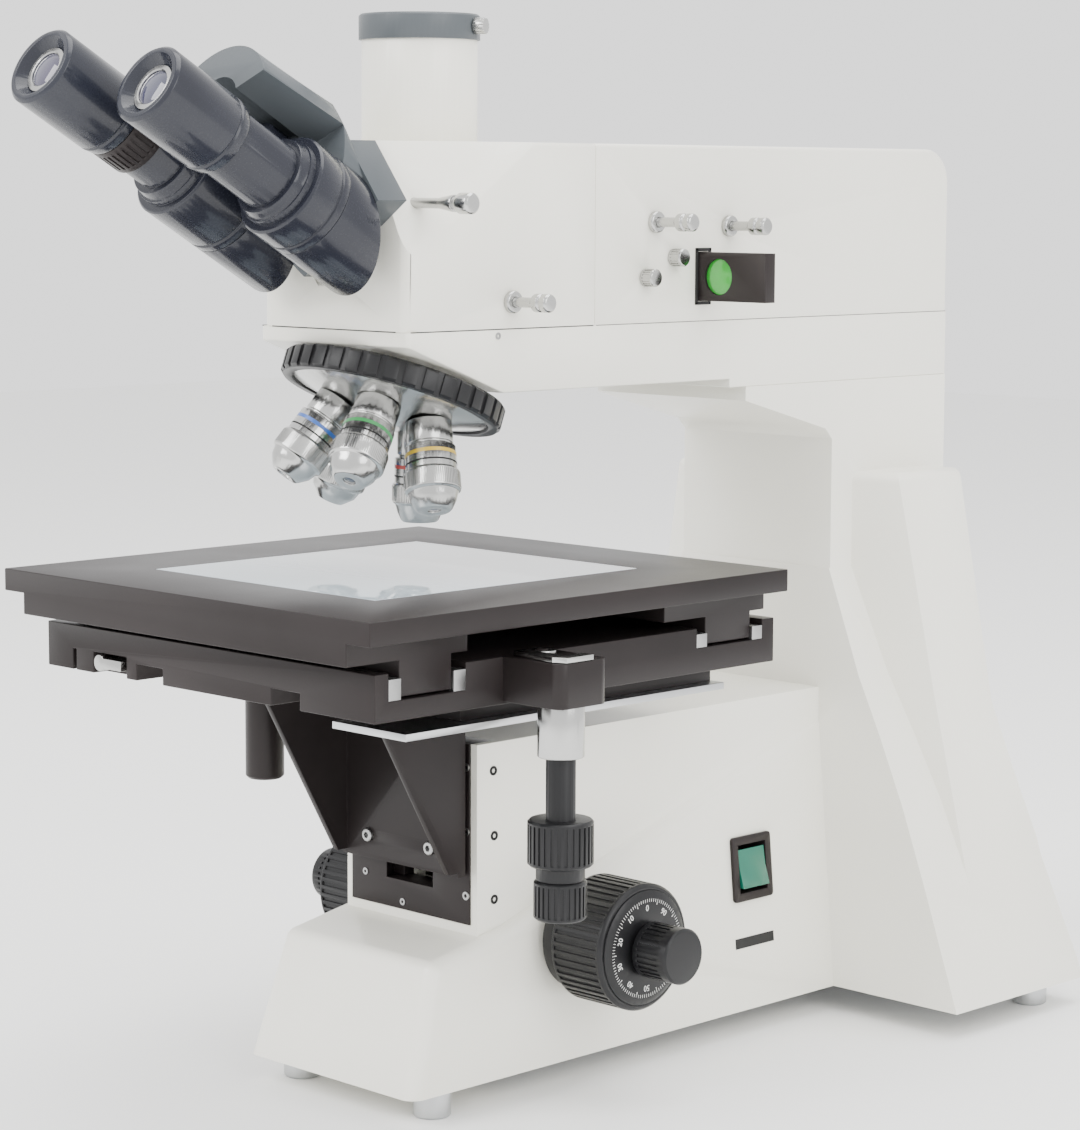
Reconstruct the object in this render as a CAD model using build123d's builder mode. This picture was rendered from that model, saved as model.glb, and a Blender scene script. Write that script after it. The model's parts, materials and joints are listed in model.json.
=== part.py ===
# Upright trinocular microscope with a large crossed-slide stage and a reflected-light illuminator.
# Millimetres. X runs to the right, Y to the rear, Z up from the bench top.
# The origin is where the optical axis meets the bench.
from build123d import *
from math import atan2, cos, pi, radians, sin, tan
import os

os.makedirs("parts", exist_ok=True)

# Levels above the bench
foot_height = 14.0
base_deck_front = 77.0
base_deck_rear = 87.0
ledge_rear_height = 167.0
focus_housing_top = 180.0
column_top = 348.5
arm_underside = 353.0
arm_top = 384.0
head_top = 474.0
photo_tube_top = 536.0
stage_top = 264.0

# Depth stations along Y
base_front = -62.8
base_deck_edge = -43.3
focus_housing_front = -6.3
ledge_front = 9.7
wing_front = 254.7
column_front = 255.7
column_rear = 354.7
head_front = -57.3
head_rear = 68.7

# Half widths across X
base_half_width = 62.0
base_side_lean = 0.091
focus_housing_half = 48.0
head_half = 54.0

# Walls and clearances
casting_wall = 8.0
housing_wall = 4.0
housing_edge_round = 2.0
seat_gap = 0.3
slide_gap = 0.1
shaft_gap = 0.05
screw_gap = 0.1

# Grip flutes of the small screws and the larger knobs
small_flute_depth = 0.4
small_flute_width = 0.8
knob_flute_depth = 0.6
knob_flute_width = 1.4

# Views used for outlines
front_view = Plane(origin=(0, 0, 0), x_dir=(1, 0, 0), z_dir=(0, -1, 0))
side_view = Plane(origin=(0, 0, 0), x_dir=(0, 1, 0), z_dir=(1, 0, 0))


def save(body, name):
    """Label a finished piece and write its file."""
    body.part.label = name
    export_step(body.part, f"parts/{name}.step")


def block(x_span, y_span, z_span, mode=Mode.ADD):
    """Rectangular block between pairs of limits in the current part."""
    centre = [(span[0] + span[1]) / 2 for span in (x_span, y_span, z_span)]
    with Locations(tuple(centre)):
        Box(
            x_span[1] - x_span[0],
            y_span[1] - y_span[0],
            z_span[1] - z_span[0],
            mode=mode,
        )


def outline(points):
    """Closed straight-sided face in the current sketch."""
    Polygon(*points, align=None)


def turned(steps, plane, bore=0.0, mode=Mode.ADD):
    """Revolve (distance along the plane's normal, radius) steps in the current part."""
    with BuildSketch(Plane(origin=plane.origin, x_dir=plane.x_dir, z_dir=-plane.y_dir)) as half:
        outline(
            [(bore, steps[0][0])]
            + [(radius, distance) for distance, radius in steps]
            + [(bore, steps[-1][0])]
        )
    revolve(half.sketch, axis=Axis(plane.origin, plane.z_dir), mode=mode)


def flutes(plane, radius, start, length, count, depth, width):
    """Cut straight grip flutes round the rim of the current part."""
    with BuildSketch(plane.offset(start)) as grips:
        with PolarLocations(radius, count):
            Rectangle(2 * depth, width)
    extrude(grips.sketch, amount=length, mode=Mode.SUBTRACT)


def side_half_width(z):
    """Half width of the leaning base side at a height."""
    return base_half_width - base_side_lean * (z - foot_height)


# Splayed wings and buttresses beside the column, as (height, half width) and (height, depth)
rib_top_height = 298.0
rib_front = 273.7
rib_front_slope = 0.27
rear_foot_y = 369.7
wing_edge = [
    (246.3, head_half),
    (189.4, 76.0),
    (159.0, 90.8),
    (122.0, 107.4),
    (78.4, 124.0),
    (foot_height, 147.0),
]
rib_edge = [(rib_top_height, 80.0), (180.0, 102.6), (81.0, 123.2), (foot_height, 146.4)]
rear_edge = [
    (rib_top_height, 335.7),
    (169.0, 336.7),
    (133.0, 346.7),
    (91.0, 359.7),
    (24.0, rear_foot_y),
    (foot_height, rear_foot_y),
]
column_fillet = 6.0
edge_round = 8.0


def mirrored_outline(edge, inset=0.0):
    """Symmetrical outline from its right edge, drawn in by a wall."""
    right = [(half - inset, height) for height, half in edge]
    right[0] = (right[0][0], edge[0][0] - inset)
    left = [(-half, height) for half, height in reversed(right)]
    outline(right + left)


def splayed_body(inset=0.0):
    """Wings and buttresses as one solid, or the space inside their walls."""
    front = wing_front + inset
    with BuildPart() as wings:
        with BuildSketch(front_view.offset(-front)):
            mirrored_outline(wing_edge, inset)
        extrude(amount=-(rear_foot_y - front))
    with BuildPart() as ribs:
        with BuildSketch(front_view.offset(-front)):
            mirrored_outline(rib_edge, inset)
        extrude(amount=-(rear_foot_y - front))
        reach = base_half_width * 3
        slope_rise = rib_front_slope * (reach - head_half)
        with BuildSketch(Plane.XY):
            outline(
                [
                    (-reach, rib_front + inset + slope_rise),
                    (-head_half, rib_front + inset),
                    (head_half, rib_front + inset),
                    (reach, rib_front + inset + slope_rise),
                    (reach, rear_foot_y + inset),
                    (-reach, rear_foot_y + inset),
                ]
            )
        extrude(amount=rib_top_height, mode=Mode.INTERSECT)
        if inset == 0:
            fillet(ribs.edges().group_by(Axis.Z)[-1].filter_by(Axis.X, reverse=True), column_fillet)
    with BuildPart() as splayed:
        add(wings.part)
        add(ribs.part)
        with BuildSketch(side_view):
            outline(
                [(front - casting_wall, foot_height), (front - casting_wall, rib_top_height)]
                + [(depth - inset, height) for height, depth in rear_edge]
            )
        extrude(amount=base_half_width * 3, both=True, mode=Mode.INTERSECT)
    return splayed.part


# Front half of the base
overhang_front = 184.0
overhang_lip = 341.0
overhang_root = 323.0
overhang_root_y = 250.0


def lower_base():
    """Leaning-sided foot with the sloping ledge beside the focus housing."""
    with BuildPart() as foot:
        with BuildSketch(front_view.offset(-base_front)):
            outline(
                [
                    (base_half_width, foot_height),
                    (side_half_width(focus_housing_top), focus_housing_top),
                    (-side_half_width(focus_housing_top), focus_housing_top),
                    (-base_half_width, foot_height),
                ]
            )
        extrude(amount=-(column_front - base_front))
        with BuildSketch(side_view):
            outline(
                [
                    (base_front, foot_height),
                    (base_deck_edge, base_deck_front),
                    (ledge_front, base_deck_rear),
                    (column_front, ledge_rear_height),
                    (column_front, foot_height),
                ]
            )
        extrude(amount=base_half_width * 2, both=True, mode=Mode.INTERSECT)
        sharp = foot.edges().filter_by(
            lambda edge: edge.center().Z > foot_height + 1 and edge.center().Y < column_front - 1
        )
        fillet(sharp, edge_round)
    return foot.part


def column_core():
    """Square column with the bracket-shaped overhang that carries the arm."""
    with BuildPart() as core:
        with BuildSketch(side_view):
            outline(
                [
                    (column_rear, foot_height),
                    (column_rear, column_top),
                    (overhang_front, column_top),
                    (overhang_front, overhang_lip),
                    (overhang_root_y, overhang_root),
                    (column_front, overhang_root - column_fillet),
                    (column_front, foot_height),
                ]
            )
        extrude(amount=head_half, both=True)
    return core.part


# Things that pass through the walls of the stand
focus_axis_y = 54.5
focus_axis_z = 78.0
focus_cavity_half = 40.0
focus_cavity_front = 16.0
focus_cavity_top = 172.0
bush_radius = 9.0
focus_boss_radius = 19.0
focus_boss_face = 60.0
recess_half = 43.5
recess_rear = 8.0
recess_bottom = 89.0
bridge_slot_half = 13.0
bridge_slot_bottom = 102.0
bottom_plate_thickness = 3.0
plate_rabbet = 5.0
foot_stud_radius = 4.0
foot_stud_length = 12.0
foot_boss_radius = 8.0
foot_places = [(-48.5, -37.3), (48.5, -37.3), (-127.0, 347.7), (127.0, 347.7)]
switch_y = 191.0
switch_z = 90.0
switch_hole_width = 26.0
switch_hole_height = 30.0
switch_plane = Plane(
    origin=(side_half_width(switch_z), switch_y, switch_z),
    x_dir=(0, 1, 0),
    z_dir=(1, 0, base_side_lean),
)
inlet_z = 58.0
inlet_x = -30.0
inlet_hole_width = 27.0
inlet_hole_height = 20.0
rear_lean = (rear_edge[4][1] - rear_edge[3][1]) / (rear_edge[3][0] - rear_edge[4][0])
inlet_y = rear_edge[4][1] - rear_lean * (inlet_z - rear_edge[4][0])
inlet_plane = Plane(origin=(inlet_x, inlet_y, inlet_z), x_dir=(-1, 0, 0), z_dir=(0, 1, rear_lean))
shaft_centre = (0, focus_axis_y, focus_axis_z)
shaft_plane = Plane(origin=shaft_centre, x_dir=(0, 1, 0), z_dir=(1, 0, 0))


def plate_outline(grow):
    """Opening under the casting, which the bottom plate closes."""
    front_half = focus_cavity_half + plate_rabbet + grow
    rear_half = wing_edge[-1][1] - casting_wall + grow - plate_rabbet
    outline(
        [
            (front_half, focus_cavity_front - plate_rabbet - grow),
            (front_half, wing_front + casting_wall - grow),
            (rear_half - foot_boss_radius, wing_front + casting_wall - grow),
            (rear_half - foot_boss_radius, rear_foot_y - casting_wall + grow - foot_boss_radius * 3),
            (rear_half - foot_boss_radius * 4, rear_foot_y - casting_wall + grow),
            (-rear_half + foot_boss_radius * 4, rear_foot_y - casting_wall + grow),
            (-rear_half + foot_boss_radius, rear_foot_y - casting_wall + grow - foot_boss_radius * 3),
            (-rear_half + foot_boss_radius, wing_front + casting_wall - grow),
            (-front_half, wing_front + casting_wall - grow),
            (-front_half, focus_cavity_front - plate_rabbet - grow),
        ]
    )


splayed_outside = splayed_body()
splayed_inside = splayed_body(casting_wall)
with BuildPart() as stand_casting:
    add(lower_base())
    add(column_core())
    add(splayed_outside)
    block(
        (-focus_housing_half, focus_housing_half),
        (focus_housing_front, column_front),
        (foot_height + casting_wall * 3, focus_housing_top),
    )
    for side in (-1, 1):
        with BuildSketch(shaft_plane.offset(side * focus_cavity_half)):
            Circle(focus_boss_radius)
        extrude(amount=side * (focus_boss_face - focus_cavity_half))
    block(
        (-focus_cavity_half, focus_cavity_half),
        (focus_cavity_front, wing_front - casting_wall),
        (foot_height, focus_cavity_top),
        mode=Mode.SUBTRACT,
    )
    add(splayed_inside, mode=Mode.SUBTRACT)
    block(
        (casting_wall - head_half, head_half - casting_wall),
        (column_front + casting_wall, column_rear - casting_wall),
        (foot_height, column_top - casting_wall),
        mode=Mode.SUBTRACT,
    )
    for place in foot_places:
        with BuildSketch(Plane.XY.offset(foot_height)):
            with Locations(place):
                Circle(foot_boss_radius)
        extrude(amount=foot_stud_length + casting_wall)
    with BuildSketch(Plane.XY.offset(foot_height)):
        plate_outline(slide_gap)
    extrude(amount=bottom_plate_thickness, mode=Mode.SUBTRACT)
    for place in foot_places:
        with BuildSketch(Plane.XY.offset(foot_height)):
            with Locations(place):
                Circle(foot_stud_radius)
        extrude(amount=foot_stud_length, mode=Mode.SUBTRACT)
    with BuildSketch(shaft_plane.offset(-focus_boss_face)):
        Circle(bush_radius)
    extrude(amount=2 * focus_boss_face, mode=Mode.SUBTRACT)
    block(
        (-recess_half - slide_gap, recess_half + slide_gap),
        (focus_housing_front - 1, recess_rear),
        (recess_bottom - slide_gap, focus_housing_top),
        mode=Mode.SUBTRACT,
    )
    block(
        (-bridge_slot_half, bridge_slot_half),
        (recess_rear - 1, focus_cavity_front + 1),
        (bridge_slot_bottom, focus_cavity_top),
        mode=Mode.SUBTRACT,
    )
    with BuildSketch(switch_plane):
        Rectangle(switch_hole_width, switch_hole_height)
    extrude(amount=-3 * casting_wall, mode=Mode.SUBTRACT)
    with BuildSketch(inlet_plane):
        Rectangle(inlet_hole_width, inlet_hole_height)
    extrude(amount=-3 * casting_wall, mode=Mode.SUBTRACT)
save(stand_casting, "stand_casting")

# Plate that closes the casting from below
with BuildPart() as bottom_plate:
    with BuildSketch(Plane.XY.offset(foot_height)):
        plate_outline(0)
    extrude(amount=bottom_plate_thickness)
save(bottom_plate, "bottom_plate")

# Four turned feet on threaded studs
foot_radius = 9.5
foot_chamfer = 1.0
with BuildPart() as feet:
    for place in foot_places:
        ground = Plane((place[0], place[1], 0))
        turned(
            [
                (0, foot_radius - foot_chamfer),
                (foot_chamfer, foot_radius),
                (foot_height, foot_radius),
                (foot_height, foot_stud_radius),
                (foot_height + foot_stud_length - 1, foot_stud_radius),
            ],
            ground,
        )
save(feet, "feet")

# Rocker switch in its bezel on the leaning right side
bezel_width = 31.0
bezel_height = 35.0
bezel_thickness = 2.0
bezel_corner = 2.0
rocker_width = 21.0
rocker_height = 25.0
rocker_gap = 0.5
rocker_swing = radians(8)
rocker_proud = 3.2
rocker_pivot_depth = 6.0
switch_depth = 20.0
rocker_well = 16.0
rocker_trim = 2.1
rocker_tip_drop = 0.6
rocker_dip = 1.4
rocker_skirt = 1.0
rocker_skirt_inset = 1.5
rocker_keel_half = 5.0
rocker_keel_depth = 4.5
rocker_pin_radius = 1.5
rocker_pin_proud = 0.3
with BuildPart() as switch_bezel:
    with BuildSketch(switch_plane):
        RectangleRounded(bezel_width, bezel_height, bezel_corner)
    extrude(amount=bezel_thickness)
    with BuildSketch(switch_plane):
        Rectangle(switch_hole_width, switch_hole_height)
    extrude(amount=-switch_depth)
    with BuildSketch(switch_plane.offset(bezel_thickness)):
        Rectangle(rocker_width + 2 * rocker_gap, rocker_height + 2 * rocker_gap)
    extrude(amount=-(rocker_well + bezel_thickness), mode=Mode.SUBTRACT)
save(switch_bezel, "switch_bezel")

rocker_plane = Plane(
    origin=switch_plane.origin - switch_plane.z_dir * rocker_pivot_depth,
    x_dir=switch_plane.y_dir,
    z_dir=switch_plane.x_dir,
)
with BuildPart() as switch_rocker:
    face_rise = rocker_pivot_depth + rocker_proud
    half = rocker_height / 2 - rocker_trim
    tilt_rise = half * tan(rocker_swing)
    with BuildSketch(rocker_plane.offset(-rocker_width / 2)):
        outline(
            [
                (-half, face_rise + tilt_rise - rocker_tip_drop),
                (0, face_rise - rocker_dip),
                (half, face_rise - tilt_rise - rocker_tip_drop),
                (half - rocker_skirt_inset, -rocker_skirt),
                (rocker_keel_half, -rocker_keel_depth),
                (-rocker_keel_half, -rocker_keel_depth),
                (rocker_skirt_inset - half, -rocker_skirt),
            ]
        )
    extrude(amount=rocker_width)
    with BuildSketch(rocker_plane.offset(-rocker_width / 2 - rocker_pin_proud)):
        Circle(rocker_pin_radius)
    extrude(amount=rocker_width + 2 * rocker_pin_proud)
save(switch_rocker, "switch_rocker")

# Power inlet in the rear face
inlet_flange_width = 31.0
inlet_flange_height = 24.0
inlet_flange = 2.5
inlet_mouth_width = 22.0
inlet_mouth_height = 15.0
inlet_mouth_depth = 17.0
inlet_body_depth = 21.0
inlet_pin = (2.0, 5.0, 11.0)
inlet_pin_spacing = 7.0
inlet_pin_rise = 1.5
with BuildPart() as power_inlet:
    with BuildSketch(inlet_plane):
        RectangleRounded(inlet_flange_width, inlet_flange_height, bezel_corner)
    extrude(amount=inlet_flange)
    with BuildSketch(inlet_plane):
        Rectangle(inlet_hole_width, inlet_hole_height)
    extrude(amount=-inlet_body_depth)
    with BuildSketch(inlet_plane.offset(inlet_flange)):
        Rectangle(inlet_mouth_width, inlet_mouth_height)
    extrude(amount=-(inlet_mouth_depth + inlet_flange), mode=Mode.SUBTRACT)
    with BuildSketch(inlet_plane.offset(-inlet_mouth_depth)):
        with Locations(
            (-inlet_pin_spacing, -inlet_pin_rise),
            (0, inlet_pin_rise),
            (inlet_pin_spacing, -inlet_pin_rise),
        ):
            Rectangle(inlet_pin[0], inlet_pin[1])
    extrude(amount=inlet_pin[2])
save(power_inlet, "power_inlet")

# Arm casting, sloped under its nose to match the tilt of the nosepiece
turret_tilt = radians(21)
objective_circle_apex = 398.9
turret_axis = Vector(0, -sin(turret_tilt), -cos(turret_tilt))
apex = Vector(0, 0, objective_circle_apex)
arm_face_distance = 41.0
arm_pad_front = 171.0
light_bore_radius = 13.0


def slope_height(y):
    """Height of the sloping face under the arm at a depth."""
    return objective_circle_apex - (arm_face_distance + sin(turret_tilt) * y) / cos(turret_tilt)


slope_end = (
    (objective_circle_apex - arm_underside) * cos(turret_tilt) - arm_face_distance
) / sin(turret_tilt)
arm_edge_round = 3.0
with BuildPart() as arm_casting:
    with BuildSketch(side_view):
        outline(
            [
                (head_front, arm_top),
                (head_front, slope_height(head_front)),
                (slope_end, arm_underside),
                (arm_pad_front, arm_underside),
                (arm_pad_front, column_top),
                (column_rear, column_top),
                (column_rear, arm_top),
            ]
        )
    extrude(amount=head_half, both=True)
    fillet(arm_casting.edges().filter_by(Axis.Z).group_by(Axis.Y)[0], arm_edge_round)
    with BuildSketch(Plane.XY.offset(column_top)):
        Circle(light_bore_radius)
    extrude(amount=arm_top - column_top, mode=Mode.SUBTRACT)
save(arm_casting, "arm_casting")

# Head housing with corner facets, a shell that stands on the arm
facet_low = Vector(head_half, -50.0, 420.0)
facet_side = Vector(head_half, 26.0, 472.0)
facet_front = Vector(38.0, -24.0, 473.0)
photo_tube_radius = 28.5
photo_bore_radius = 19.0
head_window_radius = 17.0
optical_port_height = 431.0
splitter_rod_y = -44.0
splitter_rod_z = 444.7
rod_radius = 2.5
analyzer_y = 10.7
analyzer_z = 397.0
binocular_tilt = radians(30)
tube_direction = Vector(0, -cos(binocular_tilt), sin(binocular_tilt))
binocular_origin = Vector(0, head_front, 420.2)


def facet_plane(side):
    """Cutting plane of the corner facet on one side."""
    corners = [Vector(side * c.X, c.Y, c.Z) for c in (facet_low, facet_side, facet_front)]
    normal = (corners[1] - corners[0]).cross(corners[2] - corners[0])
    if normal.X * side < 0:
        normal = normal * -1
    return Plane(origin=corners[0], z_dir=normal)


def tube_plane(x=0.0, along=0.0, above=0.0):
    """Plane square to the eyepiece tubes, with X across and Y upwards."""
    up = Vector(0, sin(binocular_tilt), cos(binocular_tilt))
    origin = binocular_origin + tube_direction * along + up * above + Vector(x, 0, 0)
    return Plane(origin=origin, x_dir=(1, 0, 0), z_dir=tube_direction)


cut_reach = 200.0
with BuildPart() as head_housing:
    block((-head_half, head_half), (head_front, head_rear), (arm_top, head_top))
    fillet(head_housing.edges().filter_by(Axis.Z).group_by(Axis.Y)[0], edge_round)
    fillet(head_housing.edges().filter_by(Axis.Y).group_by(Axis.Z)[-1], housing_edge_round)
    for side in (-1, 1):
        with BuildSketch(facet_plane(side)):
            Rectangle(cut_reach, cut_reach)
        extrude(amount=cut_reach, mode=Mode.SUBTRACT)
    block(
        (housing_wall - head_half, head_half - housing_wall),
        (head_front + 3 * housing_wall, head_rear - housing_wall),
        (arm_top, facet_low.Z - housing_wall),
        mode=Mode.SUBTRACT,
    )
    block(
        (-head_half / 2, head_half / 2),
        (head_front + housing_wall, head_rear - housing_wall),
        (arm_top, head_top - housing_wall),
        mode=Mode.SUBTRACT,
    )
    with BuildSketch(Plane.XY.offset(head_top - 2 * housing_wall)):
        Circle(photo_bore_radius)
    extrude(amount=3 * housing_wall, mode=Mode.SUBTRACT)
    with BuildSketch(tube_plane(along=-housing_wall * 2)):
        Circle(head_window_radius)
    extrude(amount=housing_wall * 5, mode=Mode.SUBTRACT)
    with BuildSketch(front_view.offset(-head_rear + 2 * housing_wall)):
        with Locations((0, optical_port_height)):
            Circle(head_window_radius)
    extrude(amount=-4 * housing_wall, mode=Mode.SUBTRACT)
    for rod_y, rod_z in ((analyzer_y, analyzer_z), (splitter_rod_y, splitter_rod_z)):
        with BuildSketch(side_view.offset(head_half / 3)):
            with Locations((rod_y, rod_z)):
                Circle(rod_radius + shaft_gap)
        extrude(amount=head_half, mode=Mode.SUBTRACT)
save(head_housing, "head_housing")

# Illuminator housing behind the head, open below
illuminator_corner = 19.0
rear_rod_places = [(112.7, 435.0), (168.7, 432.7)]
centring_screw_places = [(126.7, 417.0), (105.7, 407.0)]
centring_screw_radius = 2.5
filter_y = (145.2, 152.8)
filter_z = (394.5, 419.5)
panel_seam = 0.4
with BuildPart() as illuminator_housing:
    block(
        (-head_half, head_half),
        (head_rear + panel_seam, column_rear),
        (arm_top, head_top),
    )
    cross_edges = illuminator_housing.edges().filter_by(Axis.X).group_by(Axis.Z)[-1]
    fillet(cross_edges.sort_by(Axis.Y)[-1], illuminator_corner)
    long_edges = illuminator_housing.edges().filter_by(Axis.Y).group_by(Axis.Z)[-1]
    fillet(long_edges, housing_edge_round)
    block(
        (housing_wall - head_half, head_half - housing_wall),
        (head_rear + panel_seam + housing_wall, column_rear - 2 * housing_wall),
        (arm_top, head_top - 2 * housing_wall),
        mode=Mode.SUBTRACT,
    )
    with BuildSketch(front_view.offset(-head_rear)):
        with Locations((0, optical_port_height)):
            Circle(head_window_radius)
    extrude(amount=-3 * housing_wall, mode=Mode.SUBTRACT)
    for place in rear_rod_places:
        with BuildSketch(side_view.offset(head_half - 2 * housing_wall)):
            with Locations(place):
                Circle(rod_radius + shaft_gap)
        extrude(amount=4 * housing_wall, mode=Mode.SUBTRACT)
    for place in centring_screw_places:
        with BuildSketch(side_view.offset(head_half - 2 * housing_wall)):
            with Locations(place):
                Circle(centring_screw_radius + shaft_gap)
        extrude(amount=4 * housing_wall, mode=Mode.SUBTRACT)
    block(
        (head_half - 2 * housing_wall, head_half + 1),
        (filter_y[0] - slide_gap, filter_y[1] + slide_gap),
        (filter_z[0] - slide_gap, filter_z[1] + slide_gap),
        mode=Mode.SUBTRACT,
    )
save(illuminator_housing, "illuminator_housing")

# Photo tube with its clamp ring and screw
clamp_ring_radius = 29.8
clamp_ring_bottom = 523.5
spigot_radius = 25.0
clamp_screw_angle = 21.5
clamp_screw_radius = 2.0
clamp_screw_head = 4.0
clamp_screw_grip = 6.0
clamp_ring_lip = 2.0
clamp_screw_z = 530.0
with BuildPart() as photo_tube:
    turned(
        [
            (head_top, photo_tube_radius),
            (clamp_ring_bottom, photo_tube_radius),
            (clamp_ring_bottom, spigot_radius),
            (photo_tube_top - clamp_ring_lip, spigot_radius),
        ],
        Plane.XY,
        bore=photo_bore_radius,
    )
    screw_side = Plane.XY.rotated((0, 0, clamp_screw_angle))
    across = Plane(origin=(0, 0, clamp_screw_z), x_dir=(0, 0, 1), z_dir=screw_side.x_dir)
    with BuildSketch(across):
        Circle(clamp_screw_radius + shaft_gap)
    extrude(amount=clamp_ring_radius * 2, mode=Mode.SUBTRACT)
save(photo_tube, "photo_tube")

with BuildPart() as photo_tube_ring:
    turned(
        [
            (clamp_ring_bottom, clamp_ring_radius),
            (photo_tube_top - 1, clamp_ring_radius),
            (photo_tube_top, clamp_ring_radius - 1),
        ],
        Plane.XY,
        bore=spigot_radius,
    )
    with BuildSketch(across):
        Circle(clamp_screw_radius + shaft_gap)
    extrude(amount=clamp_ring_radius * 2, mode=Mode.SUBTRACT)
save(photo_tube_ring, "photo_tube_ring")

with BuildPart() as photo_clamp_screw:
    turned(
        [
            (photo_bore_radius + 1, clamp_screw_radius),
            (clamp_ring_radius + seat_gap, clamp_screw_radius),
            (clamp_ring_radius + seat_gap, clamp_screw_head),
            (clamp_ring_radius + clamp_screw_grip, clamp_screw_head),
        ],
        across,
    )
    flutes(
        across,
        clamp_screw_head,
        clamp_ring_radius,
        clamp_screw_grip + 1,
        16,
        small_flute_depth,
        small_flute_width,
    )
save(photo_clamp_screw, "photo_clamp_screw")

# Lamp socket, and the lamp and collector lens in it, inside the illuminator housing
lamp_y = 300.0
collector_y = 250.0
lamp_post_half = 12.0
lamp_profile = [(0, 4.0), (4, 4.0), (6, 5.5), (16, 5.5), (20, 2.0)]
collector_radius = 16.0
collector_frame = 3.0
collector_frame_half = 4.0
collector_rim_half = 3.0
collector_bulge = 4.0
lamp_plane = Plane(origin=(0, 0, optical_port_height), x_dir=(1, 0, 0), z_dir=(0, -1, 0))
with BuildPart() as lamp_socket:
    block(
        (-lamp_post_half, lamp_post_half),
        (lamp_y, lamp_y + 2 * lamp_post_half),
        (arm_top, optical_port_height + lamp_post_half),
    )
    block(
        (-collector_radius - collector_frame, collector_radius + collector_frame),
        (collector_y - collector_frame_half, collector_y + collector_frame_half),
        (arm_top, optical_port_height + collector_radius + collector_frame),
    )
    with BuildSketch(lamp_plane.offset(-collector_y)):
        Circle(collector_radius)
    extrude(amount=2 * collector_frame_half, both=True, mode=Mode.SUBTRACT)
save(lamp_socket, "lamp_socket")

with BuildPart() as lamp_optics:
    turned([(distance - lamp_y, radius) for distance, radius in lamp_profile], lamp_plane)
    turned(
        [
            (-collector_y - collector_rim_half, collector_radius),
            (collector_rim_half - collector_y, collector_radius),
            (collector_rim_half + collector_bulge - collector_y, collector_radius / 2),
        ],
        lamp_plane,
    )
save(lamp_optics, "lamp_optics")

# Focus guide: dovetail way let into the front of the base
way_mouth_half = 17.0
way_deep_half = 21.0
way_depth = 8.5
way_bottom = 104.0
guide_front = -7.3
carriage_height = (120.0, 160.0)
bridge_half = 10.0
bridge_height = 30.0
with BuildPart() as focus_guide:
    block((-recess_half, recess_half), (guide_front, recess_rear), (recess_bottom, focus_housing_top))
    with BuildSketch(Plane.XY.offset(way_bottom)):
        outline(
            [
                (-way_mouth_half, guide_front - 0.01),
                (way_mouth_half, guide_front - 0.01),
                (way_deep_half, guide_front + way_depth),
                (-way_deep_half, guide_front + way_depth),
            ]
        )
    extrude(amount=focus_housing_top - way_bottom, mode=Mode.SUBTRACT)
    block(
        (-bridge_slot_half, bridge_slot_half),
        (guide_front, recess_rear),
        (way_bottom, focus_cavity_top),
        mode=Mode.SUBTRACT,
    )
save(focus_guide, "focus_guide")

# Focus carriage: dovetail slider, bridge through the wall and toothed rack
rack_module = 1.0
pinion_teeth = 16
pinion_pitch_radius = rack_module * pinion_teeth / 2
tooth_pitch = pi * rack_module
tooth_half = 0.675
tooth_addendum = 0.9
tooth_dedendum = 1.25
pressure_slope = tan(radians(20))
rack_pitch_y = focus_axis_y - pinion_pitch_radius
rack_root_y = rack_pitch_y - tooth_dedendum
rack_thickness = 9.0
rack_half = 6.0
rack_height = (42.0, 148.0)
bracket_rear = -9.3
tip_half = tooth_half - tooth_addendum * pressure_slope
root_half = tooth_half + tooth_dedendum * pressure_slope
way_run = (way_deep_half - way_mouth_half) / way_depth
with BuildPart() as focus_carriage:
    with BuildSketch(Plane.XY.offset(carriage_height[0])):
        outline(
            [
                (slide_gap - way_mouth_half, guide_front),
                (slide_gap - way_mouth_half, bracket_rear),
                (way_mouth_half - slide_gap, bracket_rear),
                (way_mouth_half - slide_gap, guide_front),
                (way_deep_half - slide_gap - way_run, guide_front + way_depth - slide_gap),
                (slide_gap + way_run - way_deep_half, guide_front + way_depth - slide_gap),
            ]
        )
    extrude(amount=carriage_height[1] - carriage_height[0])
    block(
        (-bridge_half, bridge_half),
        (guide_front + way_depth - 1, rack_root_y - rack_thickness),
        (carriage_height[0], carriage_height[0] + bridge_height),
    )
    block((-rack_half, rack_half), (rack_root_y - rack_thickness, rack_root_y), rack_height)
    lowest = -int((focus_axis_z - rack_height[0] - tooth_pitch / 2) / tooth_pitch)
    highest = int((rack_height[1] - focus_axis_z - tooth_pitch / 2) / tooth_pitch)
    with BuildSketch(side_view.offset(-rack_half)):
        for index in range(lowest, highest + 1):
            middle = focus_axis_z + index * tooth_pitch
            outline(
                [
                    (rack_root_y - 0.1, middle - root_half),
                    (rack_root_y, middle - root_half),
                    (rack_pitch_y + tooth_addendum, middle - tip_half),
                    (rack_pitch_y + tooth_addendum, middle + tip_half),
                    (rack_root_y, middle + root_half),
                    (rack_root_y - 0.1, middle + root_half),
                ]
            )
    extrude(amount=2 * rack_half)
save(focus_carriage, "focus_carriage")

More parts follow.
